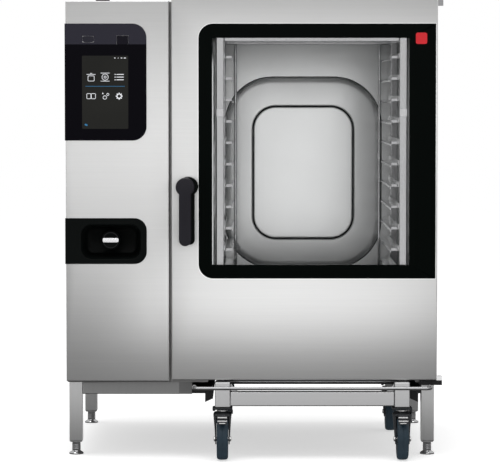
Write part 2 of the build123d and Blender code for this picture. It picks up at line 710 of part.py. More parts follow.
# Hinges: a bracket and pin at each end on the cabinet, a bored knuckle on the door
knuckle_height = 13.0
bracket_top = door_bottom - 3.5
bracket_height = 14.0
knuckle_bottom = bracket_top + face_gap
arm_height = 6.0
arm_length = 86.0
upper_plate_bottom = door_top + arm_height + face_gap
upper_plate_height = 7.0
with BuildPart() as hinge_brackets:
    block(hinge_x - 58, hinge_x + hinge_half, hinge_y - hinge_half, frame_front,
          bracket_top - bracket_height, bracket_top)
    rod(hinge_x, hinge_y, bracket_top + knuckle_height / 2, hinge_pin_radius, knuckle_height)
    block(hinge_x - hinge_half, hinge_x + hinge_half, hinge_y - hinge_half, frame_front + 60,
          upper_plate_bottom, upper_plate_bottom + upper_plate_height)
    block(hinge_x - 50, hinge_x - hinge_proud + 9, frame_front, frame_front + 60,
          casing_top, upper_plate_bottom + upper_plate_height)
    rod(hinge_x, hinge_y, upper_plate_bottom - 12, hinge_pin_radius, 26)
hinge_brackets.part.label = "hinge_brackets"
export_step(hinge_brackets.part, "parts/hinge_brackets.step")

with BuildPart() as door_knuckles:
    block(door_right, hinge_x + hinge_half, hinge_y - hinge_half, hinge_y + hinge_half,
          knuckle_bottom, knuckle_bottom + knuckle_height)
    block(door_right, hinge_x + hinge_half, hinge_y - hinge_half, hinge_y + hinge_half,
          door_top - 19, door_top + arm_height)
    block(hinge_x - arm_length, hinge_x, hinge_y - hinge_half, hinge_y + hinge_half,
          door_top, door_top + arm_height)
    rod(hinge_x, hinge_y, knuckle_bottom, hinge_pin_radius + pin_clearance, 4 * knuckle_height,
        mode=Mode.SUBTRACT)
    rod(hinge_x, hinge_y, door_top, hinge_pin_radius + pin_clearance, 60, mode=Mode.SUBTRACT)
door_knuckles.part.label = "door_knuckles"
export_step(door_knuckles.part, "parts/door_knuckles.step")

rosette_radius = 30.0
rosette_height = 12.0
neck_radius = 16.0
lever_front = door_front - 65
lever_thickness = 24.0
lever_half = 18.4
boss_radius = 28.0
lever_x = handle_x - lever_offset
with BuildPart() as handle_rosette:
    rod(handle_x, skin_front - rosette_height / 2, handle_height, rosette_radius,
        rosette_height, ALONG_Y)
    fillet(handle_rosette.edges().group_by(Axis.Y)[0], 3)
    rod(handle_x, skin_front, handle_height, neck_radius + face_gap, 4 * rosette_height, ALONG_Y,
        mode=Mode.SUBTRACT)
handle_rosette.part.label = "handle_rosette"
export_step(handle_rosette.part, "parts/handle_rosette.step")

with BuildPart() as handle_lever:
    rod(lever_x, lever_front + lever_thickness / 2, handle_height, boss_radius,
        lever_thickness, ALONG_Y)
    block(lever_x - lever_half, lever_x + lever_half, lever_front, lever_front + lever_thickness,
          handle_height - handle_length, handle_height)
    fillet(handle_lever.edges().filter_by(Axis.Y).group_by(Axis.Z)[0], lever_half - 1)
    fillet(handle_lever.edges().group_by(Axis.Y)[0], 5)
    rod(handle_x, (lever_front + lever_thickness + skin_front) / 2, handle_height, neck_radius,
        skin_front - lever_front - lever_thickness, ALONG_Y)
handle_lever.part.label = "handle_lever"
export_step(handle_lever.part, "parts/handle_lever.step")

# Spindle through the door, with the cam that pulls the door shut
with BuildPart() as latch_spindle:
    rod(handle_x, (skin_front + frame_front + 16) / 2, handle_height, spindle_radius,
        frame_front + 16 - skin_front, ALONG_Y)
    block(handle_x - 7, handle_x + 7, frame_front, frame_front + 16,
          handle_height - cam_reach, handle_height + 7)
latch_spindle.part.label = "latch_spindle"
export_step(latch_spindle.part, "parts/latch_spindle.step")

# ---------------------------------------------------------------- trolley

post_half = tube_size / 2
trolley_left = rack_center - post_center
trolley_right = rack_center + post_center
axis_front = door_front
axis_back = axis_front + castor_wheelbase
beam_top = beam_bottom + beam_height
beam_half = beam_width / 2
gusset_length = 26.0
gusset_thickness = 6.0
castor_places = {
    "front_left": (trolley_left, axis_front, 1),
    "front_right": (trolley_right, axis_front, -1),
    "back_left": (trolley_left, axis_back, 1),
    "back_right": (trolley_right, axis_back, -1),
}
stem_radius = 8.0
fork_top = post_bottom - plate_thickness - face_gap
fork_head = 12.0

# Welded base: four posts, cross beams, side beams, gussets and castor plates
with BuildPart() as trolley_base:
    for x, y, inward in castor_places.values():
        top = post_top if y == axis_front else beam_top
        block(x - post_half, x + post_half, y - post_half, y + post_half, post_bottom, top)
    fillet(trolley_base.edges().filter_by(Axis.Z), 8)
    for y in (axis_front, axis_back):
        block(trolley_left + post_half - 1, trolley_right - post_half + 1,
              y - beam_half, y + beam_half, beam_bottom, beam_top)
    for x in (trolley_left, trolley_right):
        block(x - beam_half, x + beam_half, axis_front + post_half - 1, axis_back - post_half + 1,
              beam_bottom, beam_top)
    for x, inward in ((trolley_left, 1), (trolley_right, -1)):
        with BuildSketch(Plane.XZ.offset(-(axis_front - post_half + 4 + gusset_thickness))):
            with BuildLine():
                Polyline(
                    (x + inward * (post_half - 1), beam_top - 1),
                    (x + inward * (post_half + gusset_length), beam_top - 1),
                    (x + inward * (post_half - 1), post_top - 6), close=True,
                )
            make_face()
        extrude(amount=gusset_thickness)
    for x, y, inward in castor_places.values():
        block(x - 30, x + 30, y - 30, y + 30, post_bottom - plate_thickness, post_bottom)
        rod(x, y, post_bottom - plate_thickness - fork_head / 2, stem_radius, fork_head)
trolley_base.part.label = "trolley_base"
export_step(trolley_base.part, "parts/trolley_base.step")

rod_radius = rod_diameter / 2
rod_y = axis_front - post_half - rod_radius
rod_half = rack_outer + 64
rod_bend = 14.0
rod_return = 40.0
with BuildPart() as pull_rod:
    with BuildLine(Plane.XY.offset(rod_height)) as route:
        FilletPolyline(
            (rack_center - rod_half, rod_y + rod_return),
            (rack_center - rod_half, rod_y),
            (rack_center + rod_half, rod_y),
            (rack_center + rod_half, rod_y + rod_return),
            radius=rod_bend,
        )
    with BuildSketch(Plane(origin=(rack_center - rod_half, rod_y + rod_return, rod_height),
                           z_dir=(0, -1, 0))):
        Circle(rod_radius)
    sweep(path=route.wires()[0])
pull_rod.part.label = "pull_rod"
export_step(pull_rod.part, "parts/pull_rod.step")

rack_floor = cavity_floor + 25
rear_upright = container_stop - 76
rack_back = container_stop + 16
stop_rod_radius = stop_rod_diameter / 2
stop_block_height = cavity_floor + 720
crossbar = 24.0

# Uprights, floor and head frames, side pegs and the two stop rods at the back
with BuildPart() as rack_frame:
    for side in (-1, 1):
        inner = rack_center + side * rack_inner
        outer = rack_center + side * rack_outer
        x0, x1 = min(inner, outer), max(inner, outer)
        block(x0, x1, rack_front, rack_front + upright_size, beam_top, rack_top)
        block(x0, x1, rear_upright, rear_upright + upright_size, rack_floor, rack_top)
        block(x0, x1, rack_front + upright_size, rack_back, rack_floor, rack_floor + crossbar)
        block(x0, x1, rack_front + upright_size, rack_back, rack_top - crossbar, rack_top)
        block(x0, x1, rack_front - 8, rack_front, stop_block_height - 12, stop_block_height + 12)
    span = (rack_center - rack_inner, rack_center + rack_inner)
    block(*span, rack_front, rack_front + upright_size, rack_top - crossbar, rack_top)
    block(*span, rack_back - crossbar / 2, rack_back, rack_top - crossbar, rack_top)
    block(*span, rack_back - crossbar / 2, rack_back, rack_floor, rack_floor + crossbar)
    for x in (rack_center - 235, rack_center + 235):
        rod(x, rack_back - crossbar / 4, (rack_floor + rack_top) / 2, stop_rod_radius,
            rack_top - rack_floor - crossbar)
rack_frame.part.label = "rack_frame"
export_step(rack_frame.part, "parts/rack_frame.step")

for side, name in ((-1, "left"), (1, "right")):
    web = rack_center + side * rack_inner
    with BuildPart() as rack_rails:
        for level in range(level_count):
            z = first_level + level * level_pitch
            x0, x1 = sorted((web, web - side * rail_thickness))
            block(x0, x1, rack_front, container_stop, z, z + rail_height)
            x0, x1 = sorted((web, web - side * ledge_width))
            block(x0, x1, rack_front, container_stop, z, z + rail_thickness)
    rack_rails.part.label = f"rack_rails_{name}"
    export_step(rack_rails.part, f"parts/rack_rails_{name}.step")

plate_clearance = 3.0
with BuildPart() as sealing_plate:
    block(mouth_left + plate_clearance, mouth_right - plate_clearance, rack_front,
          apron_front - plate_clearance, cavity_floor - 14, cavity_floor - 2)
    for side in (-1, 1):
        x0, x1 = sorted((rack_center + side * rack_inner, rack_center + side * rack_outer))
        block(x0, x1, rack_front - 1, rack_front + upright_size, cavity_floor - 15, cavity_floor,
              mode=Mode.SUBTRACT)
sealing_plate.part.label = "sealing_plate"
export_step(sealing_plate.part, "parts/sealing_plate.step")

# Castors, wheels trailing towards the front
axle_radius_castor = 6.0
wheel_bore = axle_radius_castor + 0.3
cheek = 7.0
pedal_pivot = (20.0, fork_top - 18)      # in front of the swivel axis, and its height
for place, (x, y, inward) in castor_places.items():
    wheel_y = y - castor_trail
    with BuildPart() as fork:
        rod(x, y, fork_top - fork_head / 2, castor_half_width - 1, fork_head)
        rod(x, y, fork_top - fork_head / 2, stem_radius + 0.3, 2 * fork_head, mode=Mode.SUBTRACT)
        for side in (-1, 1):
            edge = x + side * castor_half_width
            with BuildSketch(Plane.YZ.offset(min(edge, edge - side * cheek))):
                with BuildLine():
                    Polyline(
                        (y + 18, fork_top - fork_head + 1), (y + 18, fork_top - 34),
                        (wheel_y + 12, wheel_radius - 12), (wheel_y - 12, wheel_radius - 12),
                        (wheel_y - 16, wheel_radius + 6), (y - 26, fork_top - fork_head + 1),
                        close=True,
                    )
                make_face()
            extrude(amount=cheek)
        block(x - castor_half_width, x + castor_half_width, y - 14, y + 18,
              fork_top - fork_head, fork_top)
        rod(x, y, fork_top - fork_head / 2, stem_radius + 0.3, 2 * fork_head, mode=Mode.SUBTRACT)
        rod(x, wheel_y, wheel_radius, axle_radius_castor, 2 * castor_half_width + 10, ALONG_X)
    fork.part.label = f"castor_fork_{place}"
    export_step(fork.part, f"parts/castor_fork_{place}.step")

    with BuildPart() as wheel:
        rod(x, wheel_y, wheel_radius, wheel_radius, wheel_width, ALONG_X)
        fillet(wheel.edges(), 7)
        rod(x, wheel_y, wheel_radius, wheel_bore, 2 * wheel_width, ALONG_X, mode=Mode.SUBTRACT)
    wheel.part.label = f"castor_wheel_{place}"
    export_step(wheel.part, f"parts/castor_wheel_{place}.step")

    if y == axis_front:
        with BuildPart() as pedal:
            block(x - 15, x + 15, y - 82, y - pedal_pivot[0] - 8,
                  pedal_pivot[1] - 1, pedal_pivot[1] + 4)
            rod(x, y - pedal_pivot[0] - 8, pedal_pivot[1] + 1, 4, 2 * (castor_half_width - cheek) - 1,
                ALONG_X)
        pedal.part.label = f"brake_pedal_{place}"
        export_step(pedal.part, f"parts/brake_pedal_{place}.step")
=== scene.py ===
# %% [markdown]
# # A combi steamer in cells
# The oven's frame comes from its CAD model, and every piece added here takes its place from
# that frame, in metres. X points right, Y to the back and Z up; the door faces -Y.

# %% Load the frame
import json
import math

import bmesh
import bpy
from mathutils import Matrix, Vector

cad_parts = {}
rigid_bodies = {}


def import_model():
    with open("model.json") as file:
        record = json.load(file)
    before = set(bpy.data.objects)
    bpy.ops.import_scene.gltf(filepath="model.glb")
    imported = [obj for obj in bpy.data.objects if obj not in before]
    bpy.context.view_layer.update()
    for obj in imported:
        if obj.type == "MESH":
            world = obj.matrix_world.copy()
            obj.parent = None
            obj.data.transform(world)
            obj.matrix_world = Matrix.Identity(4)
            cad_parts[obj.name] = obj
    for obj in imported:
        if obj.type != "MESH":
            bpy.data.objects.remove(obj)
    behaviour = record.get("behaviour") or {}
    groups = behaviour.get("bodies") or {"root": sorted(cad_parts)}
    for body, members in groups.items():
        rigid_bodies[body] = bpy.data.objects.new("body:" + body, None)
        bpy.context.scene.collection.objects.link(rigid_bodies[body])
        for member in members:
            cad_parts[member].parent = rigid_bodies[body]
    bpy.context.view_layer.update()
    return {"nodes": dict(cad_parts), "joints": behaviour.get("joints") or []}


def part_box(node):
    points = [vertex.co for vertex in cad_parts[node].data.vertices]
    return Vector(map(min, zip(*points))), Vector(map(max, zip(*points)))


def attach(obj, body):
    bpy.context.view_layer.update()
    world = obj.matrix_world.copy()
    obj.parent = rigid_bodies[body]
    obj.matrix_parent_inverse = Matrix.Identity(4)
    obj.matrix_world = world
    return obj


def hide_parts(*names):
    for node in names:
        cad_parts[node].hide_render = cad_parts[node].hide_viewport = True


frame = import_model()
mm = 0.001
pivot = {j["name"]: Vector(j.get("pos_m", (0, 0, 0))) for j in frame["joints"]}

# %% [markdown]
# The oven's front planes and openings are used by many pieces, so they are read once from
# the CAD nodes' boxes.

# %% Places read from the frame
door_lo, door_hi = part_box("door_skin")
glass_lo, glass_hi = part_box("door_outer_glass")
control_lo, control_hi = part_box("control_glass")
bezel_lo, bezel_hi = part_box("recess_bezel")
column_lo, column_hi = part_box("column_front_panel")
liner_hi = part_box("cavity_liner")[1]
rack_lo, rack_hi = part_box("rack_frame")
casing_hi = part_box("side_panel_right")[1]
door_front = glass_lo.y
rack_middle = (rack_lo.x + rack_hi.x) / 2
border_left, border_right, border_low, border_high = 41 * mm, 80 * mm, 42 * mm, 43 * mm
window_lo = Vector((glass_lo.x + border_left, 0, glass_lo.z + border_low))
window_hi = Vector((glass_hi.x - border_right, 0, glass_hi.z - border_high))

# %% [markdown]
# ## Shader maths
# A wrapped socket lets the maths between nodes read like ordinary arithmetic: adding two
# wrapped sockets adds a Math node behind the scenes.


# %% A socket that does arithmetic
class Wire:
    def __init__(self, finish, socket):
        self.finish, self.socket = finish, socket

    def math(self, operation, *others):
        return self.finish.node("ShaderNodeMath", {"operation": operation}, [self, *others])

    def __add__(self, other):
        return self.math("ADD", other)

    def __sub__(self, other):
        return self.math("SUBTRACT", other)

    def __rsub__(self, other):
        return self.finish.node("ShaderNodeMath", {"operation": "SUBTRACT"}, [other, self])

    def __mul__(self, other):
        return self.math("MULTIPLY", other)

    def __gt__(self, other):
        return self.math("GREATER_THAN", other)

    __radd__, __rmul__ = __add__, __mul__


class Finish:
    """A material with one Principled shader, and the nodes that feed it."""

    def __init__(self, name, **fixed):
        self.material = bpy.data.materials.new(name)
        self.material.use_nodes = True
        self.tree = self.material.node_tree
        self.shader = self.tree.nodes["Principled BSDF"]
        for socket, value in fixed.items():
            self.shader.inputs[socket.replace("_", " ")].default_value = value

    def node(self, kind, settings=None, inputs=(), output=0):
        node = self.tree.nodes.new(kind)
        for key, value in (settings or {}).items():
            setattr(node, key, value)
        pairs = inputs.items() if isinstance(inputs, dict) else enumerate(inputs)
        for key, value in pairs:
            if isinstance(value, Wire):
                self.tree.links.new(value.socket, node.inputs[key])
            else:
                node.inputs[key].default_value = value
        return Wire(self, node.outputs[output])

    def feed(self, **links):
        for socket, wire in links.items():
            self.tree.links.new(wire.socket, self.shader.inputs[socket.replace("_", " ")])

    def place(self, scale=(1, 1, 1), turn=(0, 0, 0)):
        spot = self.node("ShaderNodeTexCoord", output="Object")
        inputs = {"Vector": spot, "Scale": scale, "Rotation": turn}
        return self.node("ShaderNodeMapping", {}, inputs)

    def noise(self, scale, detail=3.0, stretch=(1, 1, 1)):
        inputs = {"Vector": self.place(stretch), "Scale": scale, "Detail": detail}
        return self.node("ShaderNodeTexNoise", {}, inputs, output="Fac")

    def blend(self, amount, dark, light):
        """Mixes two colours by a mask."""
        settings = {"data_type": "RGBA"}
        inputs = {0: amount, 6: (*dark, 1), 7: (*light, 1)}
        return self.node("ShaderNodeMix", settings, inputs, output=2)

    def bump(self, height, strength, distance=0.0005):
        inputs = {"Height": height, "Strength": strength, "Distance": distance}
        return self.node("ShaderNodeBump", {}, inputs, output="Normal")


# %% [markdown]
# ## Brushed and polished steel
# Sheet steel is ground with a belt, which leaves long fine scratches in one direction. Noise
# squeezed across the scratches and stretched along them gives streaks, and the same streaks
# move the roughness a little, so that highlights break up into lines. Anisotropy then draws
# the reflections out across the grain.


# %% Steel finishes
def brushed_steel(name, colour, rough, stretch, spread=0.05, streak=0.06, aniso=0.5):
    steel = Finish(name, Metallic=1.0, Anisotropic=aniso)
    fine = steel.noise(1.0, 2.0, stretch)
    broad = steel.noise(1.0, 2.0, [s * 0.12 for s in stretch])
    cloud = steel.noise(2.2, 3.0)
    mask = fine * 0.5 + broad * 0.3 + cloud * 0.2
    steel.feed(
        Base_Color=steel.blend(mask, [c - spread for c in colour], [c + spread for c in colour]),
        Roughness=mask * streak + (rough - streak / 2),
        Normal=steel.bump(fine, 0.12, 0.0002),
    )
    return steel.material


def polished_steel(name, colour, rough, wave=0.1):
    steel = Finish(name, Metallic=1.0)
    smear = steel.noise(9.0, 4.0)
    ripple = steel.noise(3.0, 1.0)
    steel.feed(
        Base_Color=steel.blend(smear, [c - 0.04 for c in colour], [c + 0.02 for c in colour]),
        Roughness=smear * 0.08 + rough,
        Normal=steel.bump(ripple, wave, 0.004),
    )
    return steel.material


ALONG_X = (6, 6, 900)
ALONG_Z = (900, 900, 6)
ALONG_Y = (900, 6, 900)
door_steel = brushed_steel("door_steel", (0.66, 0.66, 0.657), 0.44, ALONG_X)
side_steel = brushed_steel("side_steel", (0.58, 0.575, 0.57), 0.36, ALONG_Y)
leg_steel = brushed_steel("leg_steel", (0.5, 0.5, 0.5), 0.34, ALONG_Z)
beam_steel = brushed_steel("beam_steel", (0.5, 0.5, 0.505), 0.3, ALONG_X)
chamber_steel = polished_steel("chamber_steel", (0.66, 0.665, 0.665), 0.26, 0.1)
rack_steel = polished_steel("rack_steel", (0.7, 0.7, 0.71), 0.14, 0.05)
rail_steel = polished_steel("rail_steel", (0.62, 0.62, 0.63), 0.07, 0.08)
# Painted shade: the rod's steel is darker than the other polished steels, so the low rod reads as
# shaded.
rod_steel = polished_steel("rod_steel", (0.4, 0.4, 0.405), 0.24, 0.02)
bright_steel = polished_steel("bright_steel", (0.8, 0.8, 0.81), 0.07, 0.02)

# %% [markdown]
# ## Plastics, rubber and glass
# Moulded plastic has a fine spark-eroded grain that only shows in how it scatters light, so a
# tiny bump carries it. Rubber is duller and picks up dust in patches.


# %% Moulded, rubber and glass finishes
def moulded(name, colour, rough, grain=0.15, scale=1800.0, coat=0.0, shine=0.35):
    plastic = Finish(name, Coat_Weight=coat, Coat_Roughness=0.08, Specular_IOR_Level=shine)
    dust = plastic.noise(14.0, 5.0)
    speck = plastic.noise(scale, 2.0)
    plastic.feed(
        Base_Color=plastic.blend(dust, [c * 0.85 for c in colour], [c * 1.12 for c in colour]),
        Roughness=dust * 0.12 + (rough - 0.06),
        Normal=plastic.bump(speck, grain, 0.0003),
    )
    return plastic.material


black_plastic = moulded("black_plastic", (0.016, 0.016, 0.018), 0.36)
recess_plastic = moulded("recess_plastic", (0.0032, 0.0042, 0.004), 0.3, 0.1, shine=0.09)
handle_plastic = moulded("handle_plastic", (0.017, 0.016, 0.021), 0.34, shine=0.25)
black_metal = moulded("black_metal", (0.018, 0.018, 0.019), 0.42, 0.3, 900.0)
fork_metal = moulded("fork_metal", (0.022, 0.024, 0.027), 0.36, 0.25, 700.0)
tyre_rubber = moulded("tyre_rubber", (0.018, 0.036, 0.052), 0.5, 0.2)
hub_plastic = moulded("hub_plastic", (0.02, 0.024, 0.03), 0.38)
seal_rubber = moulded("seal_rubber", (0.012, 0.012, 0.012), 0.6)
wool = moulded("wool", (0.42, 0.38, 0.28), 0.95, 0.8, 500.0)
lamp_cover = moulded("lamp_cover", (0.8, 0.8, 0.77), 0.4)
badge_red = moulded("badge_red", (0.62, 0.012, 0.02), 0.3, 0.05, 900.0, 0.5)


def gloss_black(name, colour, rough=0.06):
    """Black print behind glass, with the faint film that fingers leave."""
    glass = Finish(name, Specular_IOR_Level=0.06)
    film = glass.noise(5.0, 4.0)
    glass.feed(
        Base_Color=glass.blend(film, colour, [c * 1.2 for c in colour]),
        Roughness=film * 0.05 + rough,
    )
    return glass.material


def clear_glass(name, alpha):
    glass = Finish(name, Base_Color=(0.04, 0.045, 0.045, 1), Specular_IOR_Level=0.5)
    film = glass.noise(4.0, 3.0)
    glass.feed(Alpha=film * 0.02 + alpha, Roughness=film * 0.03 + 0.02)
    glass.material.surface_render_method = "BLENDED"
    return glass.material


border_black = gloss_black("border_black", (0.0012, 0.002, 0.0017))
window_clear = clear_glass("window_clear", 0.05)
inner_clear = clear_glass("inner_clear", 0.03)

# %% [markdown]
# ## Shaping helpers
# Every piece below is a bmesh built from Blender's own operators: blocks, bars, turned
# profiles and sheets. A small rounding on every hard edge catches a line of light, as real
# folded and machined metal does.


# %% Mesh helpers
def block(bm, lo, hi):
    """A box between two corners."""
    lo, hi = Vector(lo), Vector(hi)
    made = bmesh.ops.create_cube(bm, size=1)["verts"]
    bmesh.ops.scale(bm, vec=hi - lo, verts=made)
    bmesh.ops.translate(bm, vec=(lo + hi) / 2, verts=made)
    return made


def block_about(bm, spot, x, y, z):
    """A box near a spot, from the distances of its faces to it in millimetres."""
    return block(bm, *[Vector(spot) + Vector(corner) * mm for corner in zip(x, y, z)])


def bar(bm, start, end, radius, sides=24):
    """A round bar from one point to another, with flat ends."""
    start, end = Vector(start), Vector(end)
    turn = (end - start).to_track_quat("Z", "Y").to_matrix().to_4x4()
    matrix = Matrix.Translation((start + end) / 2) @ turn
    return bmesh.ops.create_cone(
        bm, cap_ends=True, segments=sides, radius1=radius, radius2=radius,
        depth=(end - start).length, matrix=matrix)["verts"]


def turned(bm, centre, axis, profile, steps=48):
    """A closed turned shape. The profile runs from end to end and gives, in millimetres,
    each point's radius and its distance along the axis."""
    axis = Vector(axis).normalized()
    side = axis.orthogonal().normalized()
    points = [bm.verts.new(Vector(centre) + side * (r * mm) + axis * (along * mm))
              for r, along in profile]
    edges = [bm.edges.new(pair) for pair in zip(points, points[1:])]
    bmesh.ops.spin(bm, geom=points + edges, cent=centre, axis=axis, angle=2 * math.pi,
                   steps=steps, use_merge=True)
    bmesh.ops.remove_doubles(bm, verts=bm.verts, dist=1e-6)


def outline(bm, x0, x1, z0, z1, y, radii=(0, 0, 0, 0), steps=8):
    """A flat face in the plane of the door, with a radius for each corner:
    bottom left, bottom right, top right, top left."""
    known = set(bm.faces)
    corners = [bm.verts.new((x, y, z)) for x, z in ((x0, z0), (x1, z0), (x1, z1), (x0, z1))]
    bm.faces.new(corners)
    for corner, radius in zip(corners, radii):
        if radius:
            bmesh.ops.bevel(bm, geom=[corner], offset=radius, segments=steps, profile=0.5,
                            affect="VERTICES", material=-1)
    return next(f for f in bm.faces if f not in known)


def ring(bm, outer, inner):
    """Turns an outer face and an inner one in it into the flat ring between them."""
    edges = list(outer.edges) + list(inner.edges)
    bmesh.ops.delete(bm, geom=[outer, inner], context="FACES_ONLY")
    return bmesh.ops.bridge_loops(bm, edges=edges)["faces"]


def verts_in(geom):
    return [g for g in geom if isinstance(g, bmesh.types.BMVert)]


def push(bm, faces, depth):
    """Gives flat faces a thickness, along Y."""
    made = bmesh.ops.extrude_face_region(bm, geom=list(faces))["geom"]
    bmesh.ops.translate(bm, vec=(0, depth, 0), verts=verts_in(made))


def slab(bm, x0, x1, z0, z1, y, depth, radii=(0, 0, 0, 0), steps=8):
    """A plate that faces the door's way: an outline with a thickness."""
    push(bm, [outline(bm, x0, x1, z0, z1, y, radii, steps)], depth)


def piece(name, bm, body, material, stands_for=(), soften=0.0, steps=2):
    """Finishes a mesh: merges doubles, turns faces outwards, rounds edges, and sets it riding."""
    bmesh.ops.remove_doubles(bm, verts=bm.verts, dist=1e-6)
    bmesh.ops.recalc_face_normals(bm, faces=bm.faces)
    mesh = bpy.data.meshes.new(name)
    bm.to_mesh(mesh)
    bm.free()
    mesh.shade_smooth()
    mesh.set_sharp_from_angle(angle=math.radians(35))
    obj = bpy.data.objects.new(name, mesh)
    bpy.context.collection.objects.link(obj)
    mesh.materials.append(material)
    if soften:
        rounding = obj.modifiers.new("rounding", "BEVEL")
        rounding.width, rounding.segments = soften, steps
        rounding.limit_method, rounding.angle_limit = "ANGLE", math.radians(35)
        rounding.harden_normals = True
    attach(obj, body)
    if stands_for:
        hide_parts(*stands_for)
    print(name, "has", len(mesh.polygons), "faces and rides", body)
    return obj


def turned_piece(name, body, material, centre, profile, steps, stands_for=(), axis=(0, 1, 0)):
    """A piece that is one turned shape."""
    bm = bmesh.new()
    turned(bm, centre, axis, profile, steps)
    piece(name, bm, body, material, stands_for)


def dress(material, *nodes):
    """Gives CAD nodes a finish."""
    for node in nodes:
        slots = frame["nodes"][node].data.materials
        slots.clear()
        slots.append(material)


# %% [markdown]
# ## Camera, floor and light
# A long lens from about eight metres flattens the oven as a catalogue picture does. The camera
# stands at chest height, so it is pitched down a little in place of shifting the lens. Steel
# shows whatever stands round it, and one light can't suit a broad front, a deep chamber and
# thin rails at once. So most lights fall on one collection of pieces only: light linking names
# it here, and the pieces are put in it in the last cells.

# %% Camera
camera_away = 8365 * mm
camera_height = 1108 * mm
camera = bpy.data.objects.new("camera", bpy.data.cameras.new("camera"))
bpy.context.collection.objects.link(camera)
camera.data.lens = 200.8
camera.data.sensor_width = 36.0
camera.data.clip_end = 60
camera.location = (-6.5 * mm, door_front - camera_away, camera_height)
camera.rotation_euler = (math.radians(90 - 2.912), 0, math.radians(0.04))
bpy.context.scene.camera = camera

# %% Floor
# A pale floor under a white sky needs no wall behind it, so the oven can be seen from all round.
floor_half = 30.0
ground = bmesh.new()
bmesh.ops.create_grid(ground, x_segments=1, y_segments=1, size=floor_half)
ground_mesh = bpy.data.meshes.new("floor")
ground.to_mesh(ground_mesh)
ground.free()
studio_floor = bpy.data.objects.new("floor", ground_mesh)
bpy.context.collection.objects.link(studio_floor)
paper = Finish("paper", Roughness=0.9, Specular_IOR_Level=0.0, Base_Color=(0.8, 0.8, 0.8, 1),
               Emission_Color=(1, 1, 1, 1), Emission_Strength=0.56)
ground_mesh.materials.append(paper.material)
studio_floor.visible_glossy = False

# %% Sky and lights
# The sky is white behind the oven, but what falls on it is dimmer, so that black parts stay
# black. The broad fronts get their glow from strip lights that stand close in front, and pale
# cards at the sides and behind give the shell something to reflect.
sky = bpy.data.worlds.new("studio")
bpy.context.scene.world = sky
sky.use_nodes = True
background = sky.node_tree.nodes["Background"]


def sky_node(kind, values=(), **links):
    """Adds a node to the sky, with its values and what feeds it."""
    node = sky.node_tree.nodes.new(kind)
    for socket, value in values:
        node.inputs[socket].default_value = value
    for socket, source in links.items():
        sky.node_tree.links.new(source, node.inputs[socket.replace("_", " ")])
    return node


ambient, below = 0.55, 0.1
way = sky_node("ShaderNodeSeparateXYZ", Vector=sky_node("ShaderNodeTexCoord").outputs["Generated"])
fade = (("From Min", -0.12), ("From Max", 0.12), ("To Min", below), ("To Max", ambient))
dome = sky_node("ShaderNodeMapRange", fade, Value=way.outputs["Z"])
seen = sky_node("ShaderNodeMapRange", (("To Max", 1.0),), To_Min=dome.outputs["Result"],
                Value=sky_node("ShaderNodeLightPath").outputs["Is Camera Ray"])
sky.node_tree.links.new(seen.outputs["Result"], background.inputs["Strength"])
background.inputs["Color"].default_value = (1, 1, 1, 1)
bpy.context.scene.view_settings.view_transform = "Standard"


def softbox(name, place, target, size, brightness, only_on=None, spread=180):
    """A rectangular light whose surface has a given brightness."""
    light = bpy.data.lights.new(name, "AREA")
    light.shape, light.size, light.size_y = "RECTANGLE", *size
    light.energy = brightness * math.pi * size[0] * size[1]
    light.spread = math.radians(spread)
    lamp = bpy.data.objects.new(name, light)
    bpy.context.collection.objects.link(lamp)
    lamp.location = place
    aim = Vector(target) - Vector(place)
    lamp.rotation_euler = aim.to_track_quat("-Z", "Y").to_euler()
    lamp.visible_camera = False
    if only_on:
        lamp.light_linking.receiver_collection = only_on
    return lamp


fronts, chamber, rack_parts, low_steel, shell = (
    bpy.data.collections.new(name)
    for name in ("fronts", "chamber", "rack_parts", "low_steel", "shell"))
chamber_x = rack_middle - 55 * mm
softbox("overhead", (-0.3, -0.8, 4.5), (0, 0, 0), (4.0, 4.0), 2.2)
softbox("strip_light", (-0.15, door_front - 2.0, 0.98), (-0.15, door_front, 0.98),
        (2.2, 0.86), 1.55, fronts)
softbox("low_glow", (0.12, door_front - 0.6, 0.4), (0.12, door_front, 0.4),
        (1.0, 0.26), 1.3, fronts)
softbox("chamber_light", (chamber_x, rack_lo.y - 20 * mm, 0.87), (chamber_x, liner_hi.y, 0.87),
        (0.52, 0.66), 0.42, chamber, 90)
softbox("rack_light", (rack_middle, rack_lo.y - 60 * mm, 0.8), (rack_middle, rack_lo.y, 0.8),
        (0.66, 1.0), 0.92, rack_parts)
for card, x, y in (("left_card", -2.6, 0), ("right_card", 2.6, 0), ("back_card", 0, 2.8)):
    softbox(card, (x, y, 0.8), (0, 0, 0.8), (3.4, 2.6), 0.85, shell)
softbox("low_light", (0, door_front - 0.7, 0.42), (0, door_front, 0.42),
        (2.6, 0.8), 0.8, low_steel)

# %% [markdown]
# ## Stand
# The stand is welded from square tube. Tubes could be swept, but they are straight and their
# ends are closed, so a block with softened edges does for each. A hair's gap between two blocks
# reads as the weld line, and a smaller block under each leg is the plug that its foot screws
# into.

# %% Stand
stand_lo, stand_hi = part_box("stand_frame")
leg_size = 40 * mm
rail_low = stand_hi.z - 38 * mm
bay_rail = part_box("trolley_guides")[0].x - leg_size
front_legs = stand_lo.y
weld = 0.5 * mm
plug_step, plug_height = 2 * mm, 3 * mm
stand, beams = bmesh.new(), bmesh.new()
for x in (stand_lo.x, stand_hi.x - leg_size):
    for y in (stand_lo.y, stand_hi.y - leg_size):
        block(stand, (x, y, stand_lo.z + plug_height), (x + leg_size, y + leg_size, stand_hi.z))
        block(stand, (x + plug_step, y + plug_step, stand_lo.z),
              (x + leg_size - plug_step, y + leg_size - plug_step, stand_lo.z + 4 * mm))
    block(beams, (x, stand_lo.y + leg_size + weld, rail_low),
          (x + leg_size, stand_hi.y - leg_size - weld, stand_hi.z))
block(beams, (stand_lo.x + leg_size + weld, front_legs, rail_low),
      (bay_rail, front_legs + leg_size, stand_hi.z))
